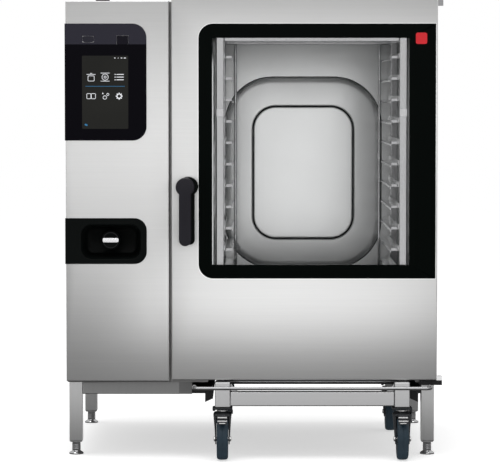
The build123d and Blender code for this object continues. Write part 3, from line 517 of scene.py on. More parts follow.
block(beams, (bay_rail, front_legs, rail_low),
      (bay_rail + leg_size, stand_hi.y - leg_size - weld, stand_hi.z))
block(beams, (stand_lo.x + leg_size + weld, stand_hi.y - leg_size, rail_low),
      (stand_hi.x - leg_size - weld, stand_hi.y, stand_hi.z))
piece("stand_legs", stand, "cabinet", leg_steel, ["stand_frame"], 2.5 * mm, 3)
piece("stand_rails", beams, "cabinet", leg_steel, soften=2.5 * mm, steps=3)

# %% [markdown]
# A levelling foot is turned from bar, so half its outline is drawn and spun. The thread is a
# row of small steps in that outline: rings look like a thread from a pace away, and a true
# helix would cost many more faces.

# %% Levelling feet
for corner in ("front_left", "front_right", "back_left", "back_right"):
    lo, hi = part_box(f"foot_{corner}")
    centre = ((lo.x + hi.x) / 2, (lo.y + hi.y) / 2, 0)
    profile = [(0, 0), (21, 0), (22, 1), (22, 4), (20.5, 6), (15, 9.5), (12.6, 11), (12.6, 14)]
    for turn in range(5):
        profile += [(12.9, 14.6 + turn * 4), (12.9, 17 + turn * 4), (12.2, 17.6 + turn * 4)]
    profile += [(12.9, 36), (12.9, 70), (0, 70)]
    turned_piece(f"foot_turned_{corner}", f"levelling_foot_{corner}", bright_steel, centre, profile,
                 40, [f"foot_{corner}"], (0, 0, 1))

# %% [markdown]
# ## Door and column sheets
# Both fronts are trays of thin steel. A flat ring is drawn between the outline and the opening,
# its outer edge is pulled back into returns, the fold is rounded, and the sheet is thickened
# inwards. The rounded fold gives the fine bright line down each side.


# %% Folded trays
def tray(name, body, lo, hi, hole, radii, stands_for, material, fold=3.0 * mm, gauge=1.4 * mm):
    bm = bmesh.new()
    outer = outline(bm, lo.x, hi.x, lo.z, hi.z, lo.y)
    rim = list(outer.edges)
    ring(bm, outer, outline(bm, *hole, lo.y, radii))
    grown = bmesh.ops.extrude_edge_only(bm, edges=rim)["geom"]
    bmesh.ops.translate(bm, vec=(0, hi.y - lo.y, 0),
                        verts=verts_in(grown))
    bmesh.ops.bevel(bm, geom=rim, offset=fold, segments=5, profile=0.5, affect="EDGES",
                    material=-1)
    bmesh.ops.recalc_face_normals(bm, faces=bm.faces)
    if sum(f.normal.y * f.calc_area() for f in bm.faces) > 0:
        bmesh.ops.reverse_faces(bm, faces=bm.faces)
    bmesh.ops.solidify(bm, geom=bm.faces[:], thickness=gauge)
    piece(name, bm, body, material, stands_for)


gap = 0.5 * mm
corner_radius = 44 * mm
tray("door_sheet", "door", door_lo, door_hi,
     (glass_lo.x - gap, glass_hi.x + gap, glass_lo.z - gap, glass_hi.z + gap),
     (corner_radius, 2 * mm, 2 * mm, corner_radius), ["door_skin"], door_steel)
recess_margin = 12 * mm
tray("column_sheet", "cabinet", column_lo, column_hi,
     (bezel_lo.x + 30 * mm, bezel_hi.x - recess_margin,
      bezel_lo.z + recess_margin, bezel_hi.z - recess_margin),
     (20 * mm,) * 4, ["column_front_panel"], door_steel)

# %% [markdown]
# ## Door glass
# One toughened pane has a black printed border. The border is a ring with two large corners on
# the handle side, and the clear part is a thinner pane in its opening.

# %% Door glass
glass = bmesh.new()
outer = outline(glass, glass_lo.x, glass_hi.x, glass_lo.z, glass_hi.z, glass_lo.y,
                (corner_radius, 3 * mm, 3 * mm, corner_radius), 12)
inner = outline(glass, window_lo.x, window_hi.x, window_lo.z, window_hi.z, glass_lo.y,
                (2 * mm,) * 4, 3)
push(glass, ring(glass, outer, inner), glass_hi.y - glass_lo.y)
piece("door_glass_border", glass, "door", border_black, ["door_outer_glass"], 0.8 * mm, 2)

pane = bmesh.new()
edge_overlap = 0.2 * mm
slab(pane, window_lo.x - edge_overlap, window_hi.x + edge_overlap, window_lo.z - edge_overlap,
     window_hi.z + edge_overlap, glass_lo.y + 0.4 * mm, 5 * mm, (2 * mm,) * 4, 3)
piece("door_window", pane, "door", window_clear)
dress(inner_clear, "door_inner_glass")

badge = bmesh.new()
badge_x, badge_z, badge_half = 501 * mm, glass_hi.z - 44 * mm, 17 * mm
slab(badge, badge_x - badge_half, badge_x + badge_half, badge_z - badge_half,
     badge_z + badge_half, glass_lo.y - 0.6 * mm, 0.6 * mm, (6 * mm,) * 4, 6)
piece("door_badge", badge, "door", badge_red, soften=0.3 * mm)

# %% [markdown]
# The door's sheet is folded in behind the glass, and the fold shows as a fine bright line round
# it. A bevel on the sheet would be lost in its grain, so the line is a painted highlight: a thin
# ring in a brighter steel.

# %% Painted highlight round the glass
# A brighter steel. It paints the highlight line round the door glass and the bright strips on the
# pedals, and it is the castor fittings' own bright finish.
edge_steel = polished_steel("edge_steel", (0.86, 0.86, 0.86), 0.3, 0.02)
highlight_width = 1.6 * mm
highlight_ring = bmesh.new()
rims = [outline(highlight_ring, glass_lo.x - grow, glass_hi.x + grow, glass_lo.z - grow,
                glass_hi.z + grow, door_lo.y - 0.5 * mm,
                (corner_radius + grow, 2 * mm + grow, 2 * mm + grow, corner_radius + grow), 10)
        for grow in (highlight_width, 0)]
push(highlight_ring, ring(highlight_ring, *rims), 0.5 * mm)
piece("door_glass_edge", highlight_ring, "door", edge_steel)

# %% Door body, gasket and hinges
dress(side_steel, "door_core", "front_frame")
dress(seal_rubber, "door_gasket")
dress(black_metal, "hinge_brackets", "reel_bracket")
dress(bright_steel, "door_knuckles", "latch_spindle")
dress(lamp_cover, "door_light_strips")

# %% [markdown]
# ## Control panel
# The panel is one dark glass that runs over the column's left edge. Its top strip is a shade
# lighter, and the screen, a sheet of light behind the glass, is a piece of its own with
# plain pictograms: a pot, an oven, a list, a book, drops and a gear.

# %% Control glass
strip_low = control_hi.z - 62 * mm
panel = Finish("panel_glass", Specular_IOR_Level=0.08)
spot = panel.node("ShaderNodeTexCoord", output="Object")
height = panel.node("ShaderNodeSeparateXYZ", {}, [spot], "Z")
film = panel.noise(6.0, 3.0)
panel.feed(
    Base_Color=panel.blend(height > strip_low, (0.0028, 0.0025, 0.0042), (0.028, 0.027, 0.037)),
    Roughness=film * 0.05 + 0.07,
)
key_lo, key_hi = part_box("power_button")
flap_lo, flap_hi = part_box("usb_cover")
slit = 0.5 * mm
plate = bmesh.new()
panel_corner = 42 * mm
panel_depth = control_hi.y - control_lo.y
slab(plate, control_lo.x, control_hi.x, control_lo.z, strip_low, control_lo.y, panel_depth,
     (0, panel_corner, 0, 0), 10)
spans = ((control_lo.x, key_lo.x - slit), (key_hi.x + slit, flap_lo.x - slit),
         (flap_hi.x + slit, control_hi.x))
for index, (x0, x1) in enumerate(spans):
    last = index == len(spans) - 1
    slab(plate, x0, x1, strip_low, control_hi.z, control_lo.y, panel_depth,
         (0, 0, panel_corner if last else 0, 0), 10)
for lo, hi in ((key_lo, key_hi), (flap_lo, flap_hi)):
    for z0, z1 in ((strip_low, lo.z - slit), (hi.z + slit, control_hi.z)):
        if z1 > z0:
            slab(plate, lo.x - slit, hi.x + slit, z0, z1, control_lo.y, panel_depth)
piece("control_panel", plate, "cabinet", panel.material, ["control_glass"])

# %% [markdown]
# The power key and the port cover move on their own, so each fills its place in the panel's top
# strip as a separate plate. The display's pictograms are flat prints raised by a hair: each is
# made of the same three shapes, a patch, a hoop and a frame, so a few lines draw all six.

# %% Power key and port cover
strip_plastic = moulded("strip_plastic", (0.024, 0.023, 0.032), 0.3, 0.05, shine=0.14)
cover_plastic = moulded("cover_plastic", (0.008, 0.007, 0.012), 0.3, 0.1, shine=0.14)
for name, body, node, finish, radius, steps in (
        ("power_key_cap", "power_key", "power_button", strip_plastic, 4 * mm, 5),
        ("port_cover_flap_skin", "port_cover", "usb_cover", cover_plastic, 2 * mm, 4)):
    lo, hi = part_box(node)
    cap = bmesh.new()
    slab(cap, lo.x, hi.x, lo.z, hi.z, lo.y, hi.y - lo.y, (radius,) * 4, steps)
    piece(name, cap, body, finish, [node], 0.4 * mm)

# %% Pictograms
def lit(name, strength, grain, dark, light, dark_glow, light_glow, **fixed):
    """A print or screen that shines a little of itself."""
    finish = Finish(name, Emission_Strength=strength, **fixed)
    mask = finish.noise(*grain)
    finish.feed(Base_Color=finish.blend(mask, dark, light),
                Emission_Color=finish.blend(mask, dark_glow, light_glow))
    return finish.material


symbol_light = lit("symbol_light", 0.6, (400.0, 1.0), (0.55, 0.56, 0.58), (0.62, 0.63, 0.65),
                   (0.5, 0.51, 0.53), (0.58, 0.59, 0.61), Roughness=0.4, Specular_IOR_Level=0.1)
blue_light = lit("blue_light", 0.25, (300.0, 1.0), (0.03, 0.14, 0.28), (0.04, 0.18, 0.34),
                 (0.02, 0.12, 0.26), (0.03, 0.16, 0.32), Roughness=0.4, Specular_IOR_Level=0.1)
screen_light = lit("screen_light", 0.6, (5.0, 2.0), (0.007, 0.007, 0.0065), (0.01, 0.01, 0.009),
                   (0.012, 0.012, 0.011), (0.022, 0.022, 0.02),
                   Roughness=0.12, Specular_IOR_Level=0.12)
screen_x = (control_lo.x + 52 * mm, control_lo.x + 190.5 * mm)
screen_z = (control_lo.z + 35 * mm, control_lo.z + 254 * mm)
screen_y = control_lo.y - 0.15 * mm
print_y = screen_y - 0.1 * mm
display = bmesh.new()
slab(display, *screen_x, *screen_z, screen_y, 0.15 * mm, (3 * mm,) * 4, 4)
piece("screen", display, "cabinet", screen_light)


def patch(bm, x, z, width, height, radius=0.0, turn=0.0):
    """A flat printed rectangle, centred on a point of the screen."""
    face = outline(bm, x - width / 2, x + width / 2, z - height / 2, z + height / 2, print_y,
                   (radius,) * 4, 3)
    if turn:
        bmesh.ops.rotate(bm, cent=(x, print_y, z), verts=list(face.verts),
                         matrix=Matrix.Rotation(math.radians(turn), 3, "Y"))
    return face


def hoop(bm, x, z, radius, line, steps=24):
    """A flat printed ring."""
    facing = Matrix.Translation((x, print_y, z)) @ Matrix.Rotation(math.pi / 2, 4, "X")
    edges = []
    for size in (radius, radius - line):
        made = bmesh.ops.create_circle(bm, segments=steps, radius=size, matrix=facing)["verts"]
        edges += list({e for v in made for e in v.link_edges})
    return bmesh.ops.bridge_loops(bm, edges=edges)["faces"]


def frame_line(bm, x, z, width, height, line, radius):
    """A flat printed outline of a rectangle."""
    outer = patch(bm, x, z, width, height, radius)
    inner = patch(bm, x, z, width - 2 * line, height - 2 * line, max(radius - line, 0.2 * mm))
    return ring(bm, outer, inner)


columns = [(screen_x[0] + screen_x[1]) / 2 + step * 42 * mm for step in (-1, 0, 1)]
upper_row = control_lo.z + 190 * mm
lower_row = control_lo.z + 133 * mm
stroke = 1.5 * mm
marks = bmesh.new()
frame_line(marks, columns[0], upper_row - 4 * mm, 20 * mm, 17 * mm, stroke, 3 * mm)
patch(marks, columns[0], upper_row + 8 * mm, 27 * mm, stroke, 0.6 * mm)
patch(marks, columns[0], upper_row + 11 * mm, 7 * mm, stroke, 0.6 * mm)
hoop(marks, columns[1], upper_row, 10 * mm, stroke)
hoop(marks, columns[1], upper_row, 4 * mm, stroke)
for side in (-1, 1):
    patch(marks, columns[1], upper_row + side * 12 * mm, 27 * mm, stroke, 0.6 * mm)
for row in (-1, 0, 1):
    patch(marks, columns[2] + 3 * mm, upper_row + row * 8 * mm, 22 * mm, 2.2 * mm, 0.8 * mm)
    patch(marks, columns[2] - 12 * mm, upper_row + row * 8 * mm, 3 * mm, 3 * mm, 1.2 * mm)
for side in (-1, 1):
    frame_line(marks, columns[0] + side * 6.8 * mm, lower_row, 14 * mm, 17 * mm, stroke, 3 * mm)
for x, z, radius in ((-7, 8, 2.2), (8, 5, 4), (-1, -4, 6)):
    hoop(marks, columns[1] + x * mm, lower_row + z * mm, radius * mm, stroke)
hoop(marks, columns[2], lower_row, 7.6 * mm, 2.6 * mm)
for tooth in range(8):
    angle = tooth * math.pi / 4
    patch(marks, columns[2] + math.sin(angle) * 8.6 * mm, lower_row + math.cos(angle) * 8.6 * mm,
          3.4 * mm, 3 * mm, 0, math.degrees(angle))
for index, width in enumerate((4, 2, 5, 7)):
    patch(marks, screen_x[1] - (40 - index * 10) * mm, screen_z[1] - 7 * mm, width * mm,
          2.2 * mm, 0.8 * mm)
push(marks, marks.faces[:], 0.12 * mm)
piece("screen_symbols", marks, "cabinet", symbol_light)
lines = bmesh.new()
patch(lines, columns[1], (upper_row + lower_row) / 2 + 1 * mm, 118 * mm, 1.2 * mm)
patch(lines, screen_x[0] + 12 * mm, screen_z[0] + 12 * mm, 9 * mm, 5 * mm, 2 * mm, 25)
push(lines, lines.faces[:], 0.12 * mm)
piece("screen_lines", lines, "cabinet", blue_light)

# %% [markdown]
# ## Hand-shower recess
# The surround is one moulding: a flat frame with a dish that a hand reaches into. The dish is
# made from outlines that shrink as they go back, bridged into a wall and closed by a floor.

# %% Recess
dish_x = (control_lo.x + 47.5 * mm, control_lo.x + 227.5 * mm)
dish_z = (bezel_lo.z + 14.5 * mm, bezel_lo.z + 119.5 * mm)
bezel = bmesh.new()
rim_thickness = 3.0 * mm
outer = outline(bezel, bezel_lo.x, bezel_hi.x, bezel_lo.z, bezel_hi.z, bezel_lo.y,
                (1 * mm, 37 * mm, 37 * mm, 1 * mm), 10)
opening = outline(bezel, *dish_x, *dish_z, bezel_lo.y, (32 * mm,) * 4, 10)
loop = list(opening.edges)
ring(bezel, outer, opening)
steps_in = ((2 * mm, 5 * mm), (9 * mm, 45 * mm), (16 * mm, 58 * mm), (24 * mm, 62 * mm))
for inset, depth in steps_in:
    deeper = outline(bezel, dish_x[0] + inset, dish_x[1] - inset, dish_z[0] + inset,
                     dish_z[1] - inset, bezel_lo.y + depth, (32 * mm - inset * 0.9,) * 4, 10)
    edges = list(deeper.edges)
    bmesh.ops.delete(bezel, geom=[deeper], context="FACES_ONLY")
    bmesh.ops.bridge_loops(bezel, edges=loop + edges)
    loop = edges
bmesh.ops.contextual_create(bezel, geom=loop)
outer_edges = [e for e in bezel.edges if e.is_boundary]
skirt = bmesh.ops.extrude_edge_only(bezel, edges=outer_edges)["geom"]
bmesh.ops.translate(bezel, vec=(0, rim_thickness, 0),
                    verts=verts_in(skirt))
piece("recess_surround", bezel, "cabinet", recess_plastic, ["recess_bezel"], 1.0 * mm, 3)

# %% [markdown]
# The shower's body, the ring on it and its ribbed hose are all round, so each is a profile that
# is spun. The hose sits straight in the recess and moves with the head, so its ribs are steps in
# one long profile. The bar that a thumb presses is a plate on a short stem.

# %% Hand shower
head_lo, head_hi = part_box("shower_head")
head = Vector(((head_lo.x + head_hi.x) / 2, head_lo.y, (head_lo.z + head_hi.z) / 2))
profile = [(5, 1), (20, 1), (22.5, 0), (26, 0.6), (28, 3), (28.4, 8), (27, 30), (24, 40), (14, 44),
           (8, 44), (8, 47)]
turned_piece("shower_body", "hand_shower", recess_plastic, head, profile, 48)
profile = [(21.5, 0.6), (22.2, -0.4), (23.6, -0.4), (24.3, 0.6), (21.5, 0.6)]
turned_piece("shower_trim", "hand_shower", black_plastic, head, profile, 48)
hose_start, rib = 46, 9
hose_length = (head_hi.y - head_lo.y) / mm
hose_ribs = [(0, hose_start)]
for index in range(int((hose_length - 50) / rib)):
    start = hose_start + index * rib
    hose_ribs += [(6.9, start + 1.5), (6.9, start + 6), (6.3, start + 7.5)]
hose_ribs += [(0, hose_length)]
turned_piece("shower_hose", "hand_shower", seal_rubber, head, hose_ribs, 20, ["shower_head"])
bar_lo, bar_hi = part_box("shower_trigger")
push_bar = bmesh.new()
bar_depth = 4 * mm
slab(push_bar, bar_lo.x, bar_hi.x, bar_lo.z, bar_hi.z, bar_lo.y, bar_depth, (5 * mm,) * 4, 6)
bar(push_bar, (head.x, bar_lo.y + bar_depth, head.z), (head.x, bar_hi.y, head.z), 4 * mm)
piece("shower_push_bar", push_bar, "shower_bar", bright_steel, ["shower_trigger"], 1.2 * mm, 3)
dress(black_plastic, "hose_reel", "control_board")

# %% [markdown]
# ## Handle
# The lever is a rounded moulding with a round boss, on a neck that runs through a rosette. A
# flat outline is made from the boss's circle and the lever's sides, given its thickness, and
# all its edges are rounded well, because a hand closes on them. A darker half behind it,
# shifted to the right, is painted shade on the grip's side.

# %% Handle
lever_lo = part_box("handle_lever")[0]
axis = pivot["handle_turn"]
lever = bmesh.new()
boss_radius = 28 * mm
lever_half = 18.4 * mm
lever_thick = 24 * mm
boss_joint = math.asin(lever_half / boss_radius)
boss_start = Vector((lever_half, 0, -math.cos(boss_joint) * boss_radius))
tip_height = lever_lo.z + lever_half
lever_x = lever_lo.x + boss_radius
start = lever.verts.new((lever_x + boss_start.x, lever_lo.y, axis.z + boss_start.z))
around = bmesh.ops.spin(lever, geom=[start], cent=(lever_x, lever_lo.y, axis.z), axis=(0, -1, 0),
                        angle=2 * math.pi - 2 * boss_joint, steps=30)["geom_last"]
tip = lever.verts.new((lever_x - lever_half, lever_lo.y, tip_height))
lever.edges.new((around[0], tip))
tip_end = bmesh.ops.spin(lever, geom=[tip], cent=(lever_x, lever_lo.y, tip_height), axis=(0, -1, 0),
                         angle=math.pi, steps=16)["geom_last"]
lever.edges.new((tip_end[0], start))
bmesh.ops.remove_doubles(lever, verts=lever.verts, dist=1e-6)
made = bmesh.ops.contextual_create(lever, geom=lever.edges[:])["faces"]
push(lever, made, lever_thick)
fold = [e for e in lever.edges if e.calc_face_angle(0) > 1]
bmesh.ops.bevel(lever, geom=fold, offset=5 * mm, segments=5, profile=0.5, affect="EDGES",
                material=-1)
profile = [(0, 22), (17, 22), (16, 27), (15.6, 40), (15.6, 66), (0, 66)]
turned(lever, (axis.x, lever_lo.y, axis.z), (0, 1, 0), profile, 40)
piece("handle_grip", lever, "handle", handle_plastic, ["handle_lever"])
# Painted shade: a copy of the lever's outline, shifted right and in darker plastic than the lever,
# makes its side read as shaded.
back = bmesh.new()
back_shift = 12 * mm
back_x = lever_x + back_shift
back_y0 = lever_lo.y + lever_thick + 0.2 * mm
facing = (Matrix.Translation((back_x, back_y0, axis.z + 2 * mm))
          @ Matrix.Rotation(math.pi / 2, 4, "X"))
boss = bmesh.ops.create_circle(back, cap_ends=True, segments=48, radius=boss_radius - 1 * mm,
                               matrix=facing)["verts"]
push(back, list({f for v in boss for f in v.link_faces}), 12 * mm)
slab(back, back_x - lever_half, back_x + lever_half - 2 * mm, tip_height - lever_half + 3 * mm,
     axis.z, back_y0 + 0.1 * mm, 11.8 * mm, (15 * mm, 15 * mm, 0, 0), 8)
piece("handle_back", back, "handle", recess_plastic, soften=2 * mm, steps=3)
profile = [(0, -0.2), (18, -0.2), (19, 0.6), (19, 1), (0, 1)]
turned_piece("handle_cap", "handle", black_plastic, (lever_x, lever_lo.y + 0.3 * mm, axis.z),
             profile, 40)
rose_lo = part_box("handle_rosette")[0]
profile = [(16.6, 12), (16.6, 2), (18, 0.4), (21, 0), (25, 1.2), (28.5, 5), (30, 10), (30, 12),
           (16.6, 12)]
turned_piece("handle_rose", "door", handle_plastic, (axis.x, rose_lo.y, axis.z), profile, 48,
             ["handle_rosette"])

# %% [markdown]
# ## Chamber
# The liner itself comes from the frame. Its back wall is stiffened by a large pressed dish: a
# bead round the edge, a ring that rises slowly and a flat centre with a groove round it. Sheet
# could be pressed by moving a grid's points, but then the corners would be ragged. Here each
# step is an outline at its own depth, bridged to the next. Two dark rings lie in the groove and
# round the edge as painted shade: they draw the shadowed gap round the centre and the dark
# line at the dish's edge.

# %% Pressed back wall
back_y = liner_hi.y - 1.5 * mm
dish_middle = Vector((162 * mm, 0, 837 * mm))
wall_bm = bmesh.new()
levels = (
    # half width, half height, corner radius, how far it stands forward
    (256, 313, 154, 0.0), (255, 312, 153, 3.0), (253, 310, 151, 3.4), (251, 308, 149, 1.0),
    (249, 306, 147, 1.6), (236, 292, 135, 2.2), (216, 270, 119, 3.0), (196, 248, 102, 3.8),
    (170, 223, 80, 4.6), (168.6, 221.6, 78.6, 0.6), (160.4, 213.4, 70.4, 0.6), (159, 212, 69, 5.0),
    (150, 203, 60, 5.2),
)


def dish_outline(bm, half_width, half_height, radius, y):
    """An outline round the dish's middle, from sizes in millimetres."""
    return outline(bm, dish_middle.x - half_width * mm, dish_middle.x + half_width * mm,
                   dish_middle.z - half_height * mm, dish_middle.z + half_height * mm,
                   y, (radius * mm,) * 4, 16)


loop = None
for half_width, half_height, radius, forward in levels:
    face = dish_outline(wall_bm, half_width, half_height, radius, back_y - (forward + 0.5) * mm)
    edges = list(face.edges)
    bmesh.ops.delete(wall_bm, geom=[face], context="FACES_ONLY")
    if loop:
        bmesh.ops.bridge_loops(wall_bm, edges=loop + edges)
    loop = edges
bmesh.ops.contextual_create(wall_bm, geom=loop)
piece("chamber_back_pressing", wall_bm, "cabinet", chamber_steel)
# Painted shade: two dark rings, one in the groove and one round the dish's edge, stand for the
# shadow there.
shade_ring_bm = bmesh.new()
for half_width, half_height, radius, width, forward in (
        (168, 221, 78, 7, 2.6), (259, 316, 157, 3, 1.0)):
    rims = [dish_outline(shade_ring_bm, half_width - step, half_height - step, radius - step,
                         back_y - forward * mm) for step in (0, width)]
    push(shade_ring_bm, ring(shade_ring_bm, *rims), 0.6 * mm)
piece("cover_gap", shade_ring_bm, "cabinet", seal_rubber)

# %% [markdown]
# ## Rack and trolley
# The rack is a cage of square tubes that carries twelve pairs of rails. The tubes are softened
# blocks, as in the stand. A rail is one strip of sheet folded twice: an open chain of edges is
# drawn across it and swept along its length, and its folds are rounded before it gets its gauge.

# %% Rack tubes
tube = 24 * mm
rack_front = rack_lo.y + 8 * mm
rack_foot = 345 * mm
rear_tube = rack_hi.y - 92 * mm
slim = 12 * mm
cage = bmesh.new()
for side in (-1, 1):
    x0, x1 = sorted((rack_middle + side * (rack_hi.x - rack_middle - tube),
                     rack_middle + side * (rack_hi.x - rack_middle)))
    block(cage, (x0, rack_front, rack_lo.z), (x1, rack_front + tube, rack_hi.z))
    block(cage, (x0, rear_tube, rack_foot), (x1, rear_tube + tube, rack_hi.z))
    for z0 in (rack_foot, rack_hi.z - tube):
        block(cage, (x0, rack_front + tube + weld, z0), (x1, rear_tube - weld, z0 + tube))
        block(cage, (x0, rear_tube + tube + weld, z0), (x1, rack_hi.y, z0 + tube))
inner_x = (rack_lo.x + tube + weld, rack_hi.x - tube - weld)
block(cage, (inner_x[0], rack_front, rack_hi.z - tube), (inner_x[1], rack_front + tube, rack_hi.z))
for z0 in (rack_foot, rack_hi.z - tube):
    block(cage, (inner_x[0], rack_hi.y - slim, z0), (inner_x[1], rack_hi.y, z0 + tube))
piece("rack_cage", cage, "trolley", rack_steel, ["rack_frame"], 3.5 * mm, 4)
stops = bmesh.new()
stop_height = 1040 * mm
for x in (rack_lo.x, rack_hi.x - tube):
    block(stops, (x, rack_lo.y, stop_height - slim),
          (x + tube, rack_front - weld, stop_height + slim))
piece("rack_stop_blocks", stops, "trolley", bright_steel, soften=2 * mm, steps=3)
rods = bmesh.new()
rod_spread = 235 * mm
for x in (rack_middle - rod_spread, rack_middle + rod_spread):
    bar(rods, (x, rack_hi.y - slim / 2, rack_foot + tube),
        (x, rack_hi.y - slim / 2, rack_hi.z - tube), 4 * mm)
piece("rack_stop_rods", rods, "trolley", bright_steel)

# %% [markdown]
# The rails could be extruded from a drawn cross-section, but then every corner would need its
# own points. Folding an open strip, as the press does, gives the rounded folds for nothing.

# %% Rails
lip = 6 * mm
rail_pairs = 12


def rail(bm, web, inward, z, y0, y1, height, ledge):
    """A folded strip: an upright web, a ledge for the container and a turned-down lip."""
    known = set(bm.faces)
    lip_x = web + inward * ledge
    places = ((web, z + height), (web, z), (lip_x, z), (lip_x, z - lip))
    points = [bm.verts.new((place_x, y0, place_z)) for place_x, place_z in places]
    strip = [bm.edges.new(pair) for pair in zip(points, points[1:])]
    grown = bmesh.ops.extrude_edge_only(bm, edges=strip)["geom"]
    bmesh.ops.translate(bm, vec=(0, y1 - y0, 0), verts=verts_in(grown))
    folds = [e for e in bm.edges if len(e.link_faces) == 2 and not known & set(e.link_faces)]
    bmesh.ops.bevel(bm, geom=folds, offset=3 * mm, segments=3, profile=0.5, affect="EDGES",
                    material=-1)
    made = [f for f in bm.faces if f not in known]
    bmesh.ops.recalc_face_normals(bm, faces=made)
    bmesh.ops.solidify(bm, geom=made, thickness=1.3 * mm)


for side, name in ((1, "left"), (-1, "right")):
    lo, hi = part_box(f"rack_rails_{name}")
    web = (lo.x if side == 1 else hi.x) - side * 0.2 * mm + side * 1.5 * mm
    rails = bmesh.new()
    pitch = (hi.z - lo.z - 17 * mm) / (rail_pairs - 1)
    for level in range(rail_pairs):
        z = lo.z + level * pitch
        rail(rails, web, side, z + 1.4 * mm, lo.y + 1 * mm, hi.y, 15.6 * mm, 25 * mm)
        x0, x1 = sorted((web + side * 6 * mm, web + side * 23 * mm))
        block(rails, (x0, lo.y, z + 2 * mm), (x1, lo.y + 3 * mm, z + 9 * mm))
        for y in (rack_front, rear_tube):
            x0, x1 = sorted((web - side * 1.3 * mm, web + side * 1.6 * mm))
            block(rails, (x0, y + 4 * mm, z + 3 * mm), (x1, y + tube - 4 * mm, z + 17 * mm))
    piece(f"rails_{name}", rails, "trolley", rail_steel, [f"rack_rails_{name}"])

# %% [markdown]
# The trolley under the rack is a welded frame: four posts, beams between them and a gusset
# at each front corner. The gusset is a triangle of three points, given a thickness. The pull
# rod in front is a bent round bar: an open ring of edges is carried forward in a straight line
# and swung round each bend, which keeps it round all the way.

# %% Trolley base
base_lo, base_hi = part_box("trolley_base")
axis_x = (base_lo.x + 30 * mm, base_hi.x - 30 * mm)
axis_y = (base_lo.y + 30 * mm, base_hi.y - 30 * mm)
post_foot = 155 * mm
beam_low, beam_high = post_foot + 4 * mm, post_foot + 47 * mm
half_post, half_beam = 23 * mm, 20 * mm
base = bmesh.new()
for x in axis_x:
    for y in axis_y:
        top = base_hi.z if y == axis_y[0] else beam_high
        block(base, (x - half_post, y - half_post, post_foot), (x + half_post, y + half_post, top))
    block(base, (x - half_beam, axis_y[0] + half_post + weld, beam_low),
          (x + half_beam, axis_y[1] - half_post - weld, beam_high))
for y in axis_y:
    block(base, (axis_x[0] + half_post + weld, y - half_beam, beam_low),
          (axis_x[1] - half_post - weld, y + half_beam, beam_high))
for x, inward in ((axis_x[0], 1), (axis_x[1], -1)):
    foot_x, foot_z = x + inward * (half_post + weld), beam_high + weld
    corners = [base.verts.new((px, axis_y[0] - 13 * mm, pz)) for px, pz in (
        (foot_x, foot_z), (foot_x + inward * 25 * mm, foot_z), (foot_x, base_hi.z - 6 * mm))]
    push(base, [base.faces.new(corners)], 6 * mm)
piece("trolley_tubes", base, "trolley", beam_steel, ["trolley_base"], 3 * mm, 4)

# %% Pull rod
rod_lo, rod_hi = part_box("pull_rod")
rod_radius = (rod_hi.z - rod_lo.z) / 2
rod_z = rod_lo.z + rod_radius
rod_y = rod_lo.y + rod_radius
bend = 14 * mm
pull = bmesh.new()
facing = (Matrix.Translation((rod_lo.x + rod_radius, rod_hi.y, rod_z))
          @ Matrix.Rotation(math.pi / 2, 4, "X"))
made = bmesh.ops.create_circle(pull, segments=20, radius=rod_radius, matrix=facing)["verts"]
rim = list({e for v in made for e in v.link_edges})


def carry(bm, rim, step):
    """Draws an open rim onward in a straight line."""
    grown = bmesh.ops.extrude_edge_only(bm, edges=rim)["geom"]
    bmesh.ops.translate(bm, vec=step, verts=verts_in(grown))
    return [g for g in grown if isinstance(g, bmesh.types.BMEdge)]


def swing(bm, rim, centre, angle):
    """Draws an open rim onward round a bend that lies flat."""
    last = bmesh.ops.spin(bm, geom=rim, cent=centre, axis=(0, 0, 1), angle=angle,
                          steps=8)["geom_last"]
    return [g for g in last if isinstance(g, bmesh.types.BMEdge)]


rim = carry(pull, rim, (0, rod_y + bend - rod_hi.y, 0))
rim = swing(pull, rim, (rod_lo.x + rod_radius + bend, rod_y + bend, rod_z), math.pi / 2)
rim = carry(pull, rim, (rod_hi.x - rod_lo.x - 2 * rod_radius - 2 * bend, 0, 0))
rim = swing(pull, rim, (rod_hi.x - rod_radius - bend, rod_y + bend, rod_z), math.pi / 2)
carry(pull, rim, (0, rod_hi.y - rod_y - bend, 0))
bmesh.ops.holes_fill(pull, edges=[e for e in pull.edges if e.is_boundary])
for x in (rod_lo.x + rod_radius, rod_hi.x - rod_radius):
    profile = [(0, 0), (7, 0), (8.2, 1.5), (8.2, 8), (7, 9.5), (0, 9.5)]
    turned(pull, (x, rod_hi.y - 10 * mm, rod_z), (0, 1, 0), profile, 24)
piece("pull_rod_bent", pull, "trolley", rod_steel, ["pull_rod"])

# %% [markdown]
# ## Castors
# Each castor is bolted under a plate: a pressed fork on a ball race, with a soft tyre on a
# plastic hub. The fork's cheeks are drawn from the side as one outline with rounded corners,
# grow thicker towards the top and are tied by a web. The round parts are turned profiles. The
# pedal in front of each front fork is ribbed for a shoe, and its toe reaches down before the
# tyre; thin bright strips across its front are painted highlights. A dark brace ties the front
# uprights above the beam and stands in for the shade under the casing, and its bright lip is a
# painted highlight line.

# %% Plates and brace
plates = bmesh.new()
for x in axis_x:
    for y in axis_y:
        block_about(plates, (x, y, post_foot), (-30, 30), (-30, 30), (-6, -0.3))
        for side_x in (-1, 1):
            for side_y in (-1, 1):
                bolt = (x + side_x * 25.5 * mm, y + side_y * 25.5 * mm, post_foot - 6 * mm)
                turned(plates, bolt, (0, 0, -1), [(0, 0), (4.4, 0), (4.4, 3), (0, 4)], 6)
piece("castor_plates", plates, "trolley", fork_metal, soften=0.8 * mm)
# Painted shade: the dark brace fills the band of shade under the casing.
brace = bmesh.new()
brace_low, brace_high = 211.5 * mm, 222.5 * mm
block(brace, (inner_x[0], rack_front, brace_low), (inner_x[1], rack_front + slim, brace_high))
piece("foot_brace", brace, "trolley", black_metal, soften=1 * mm)
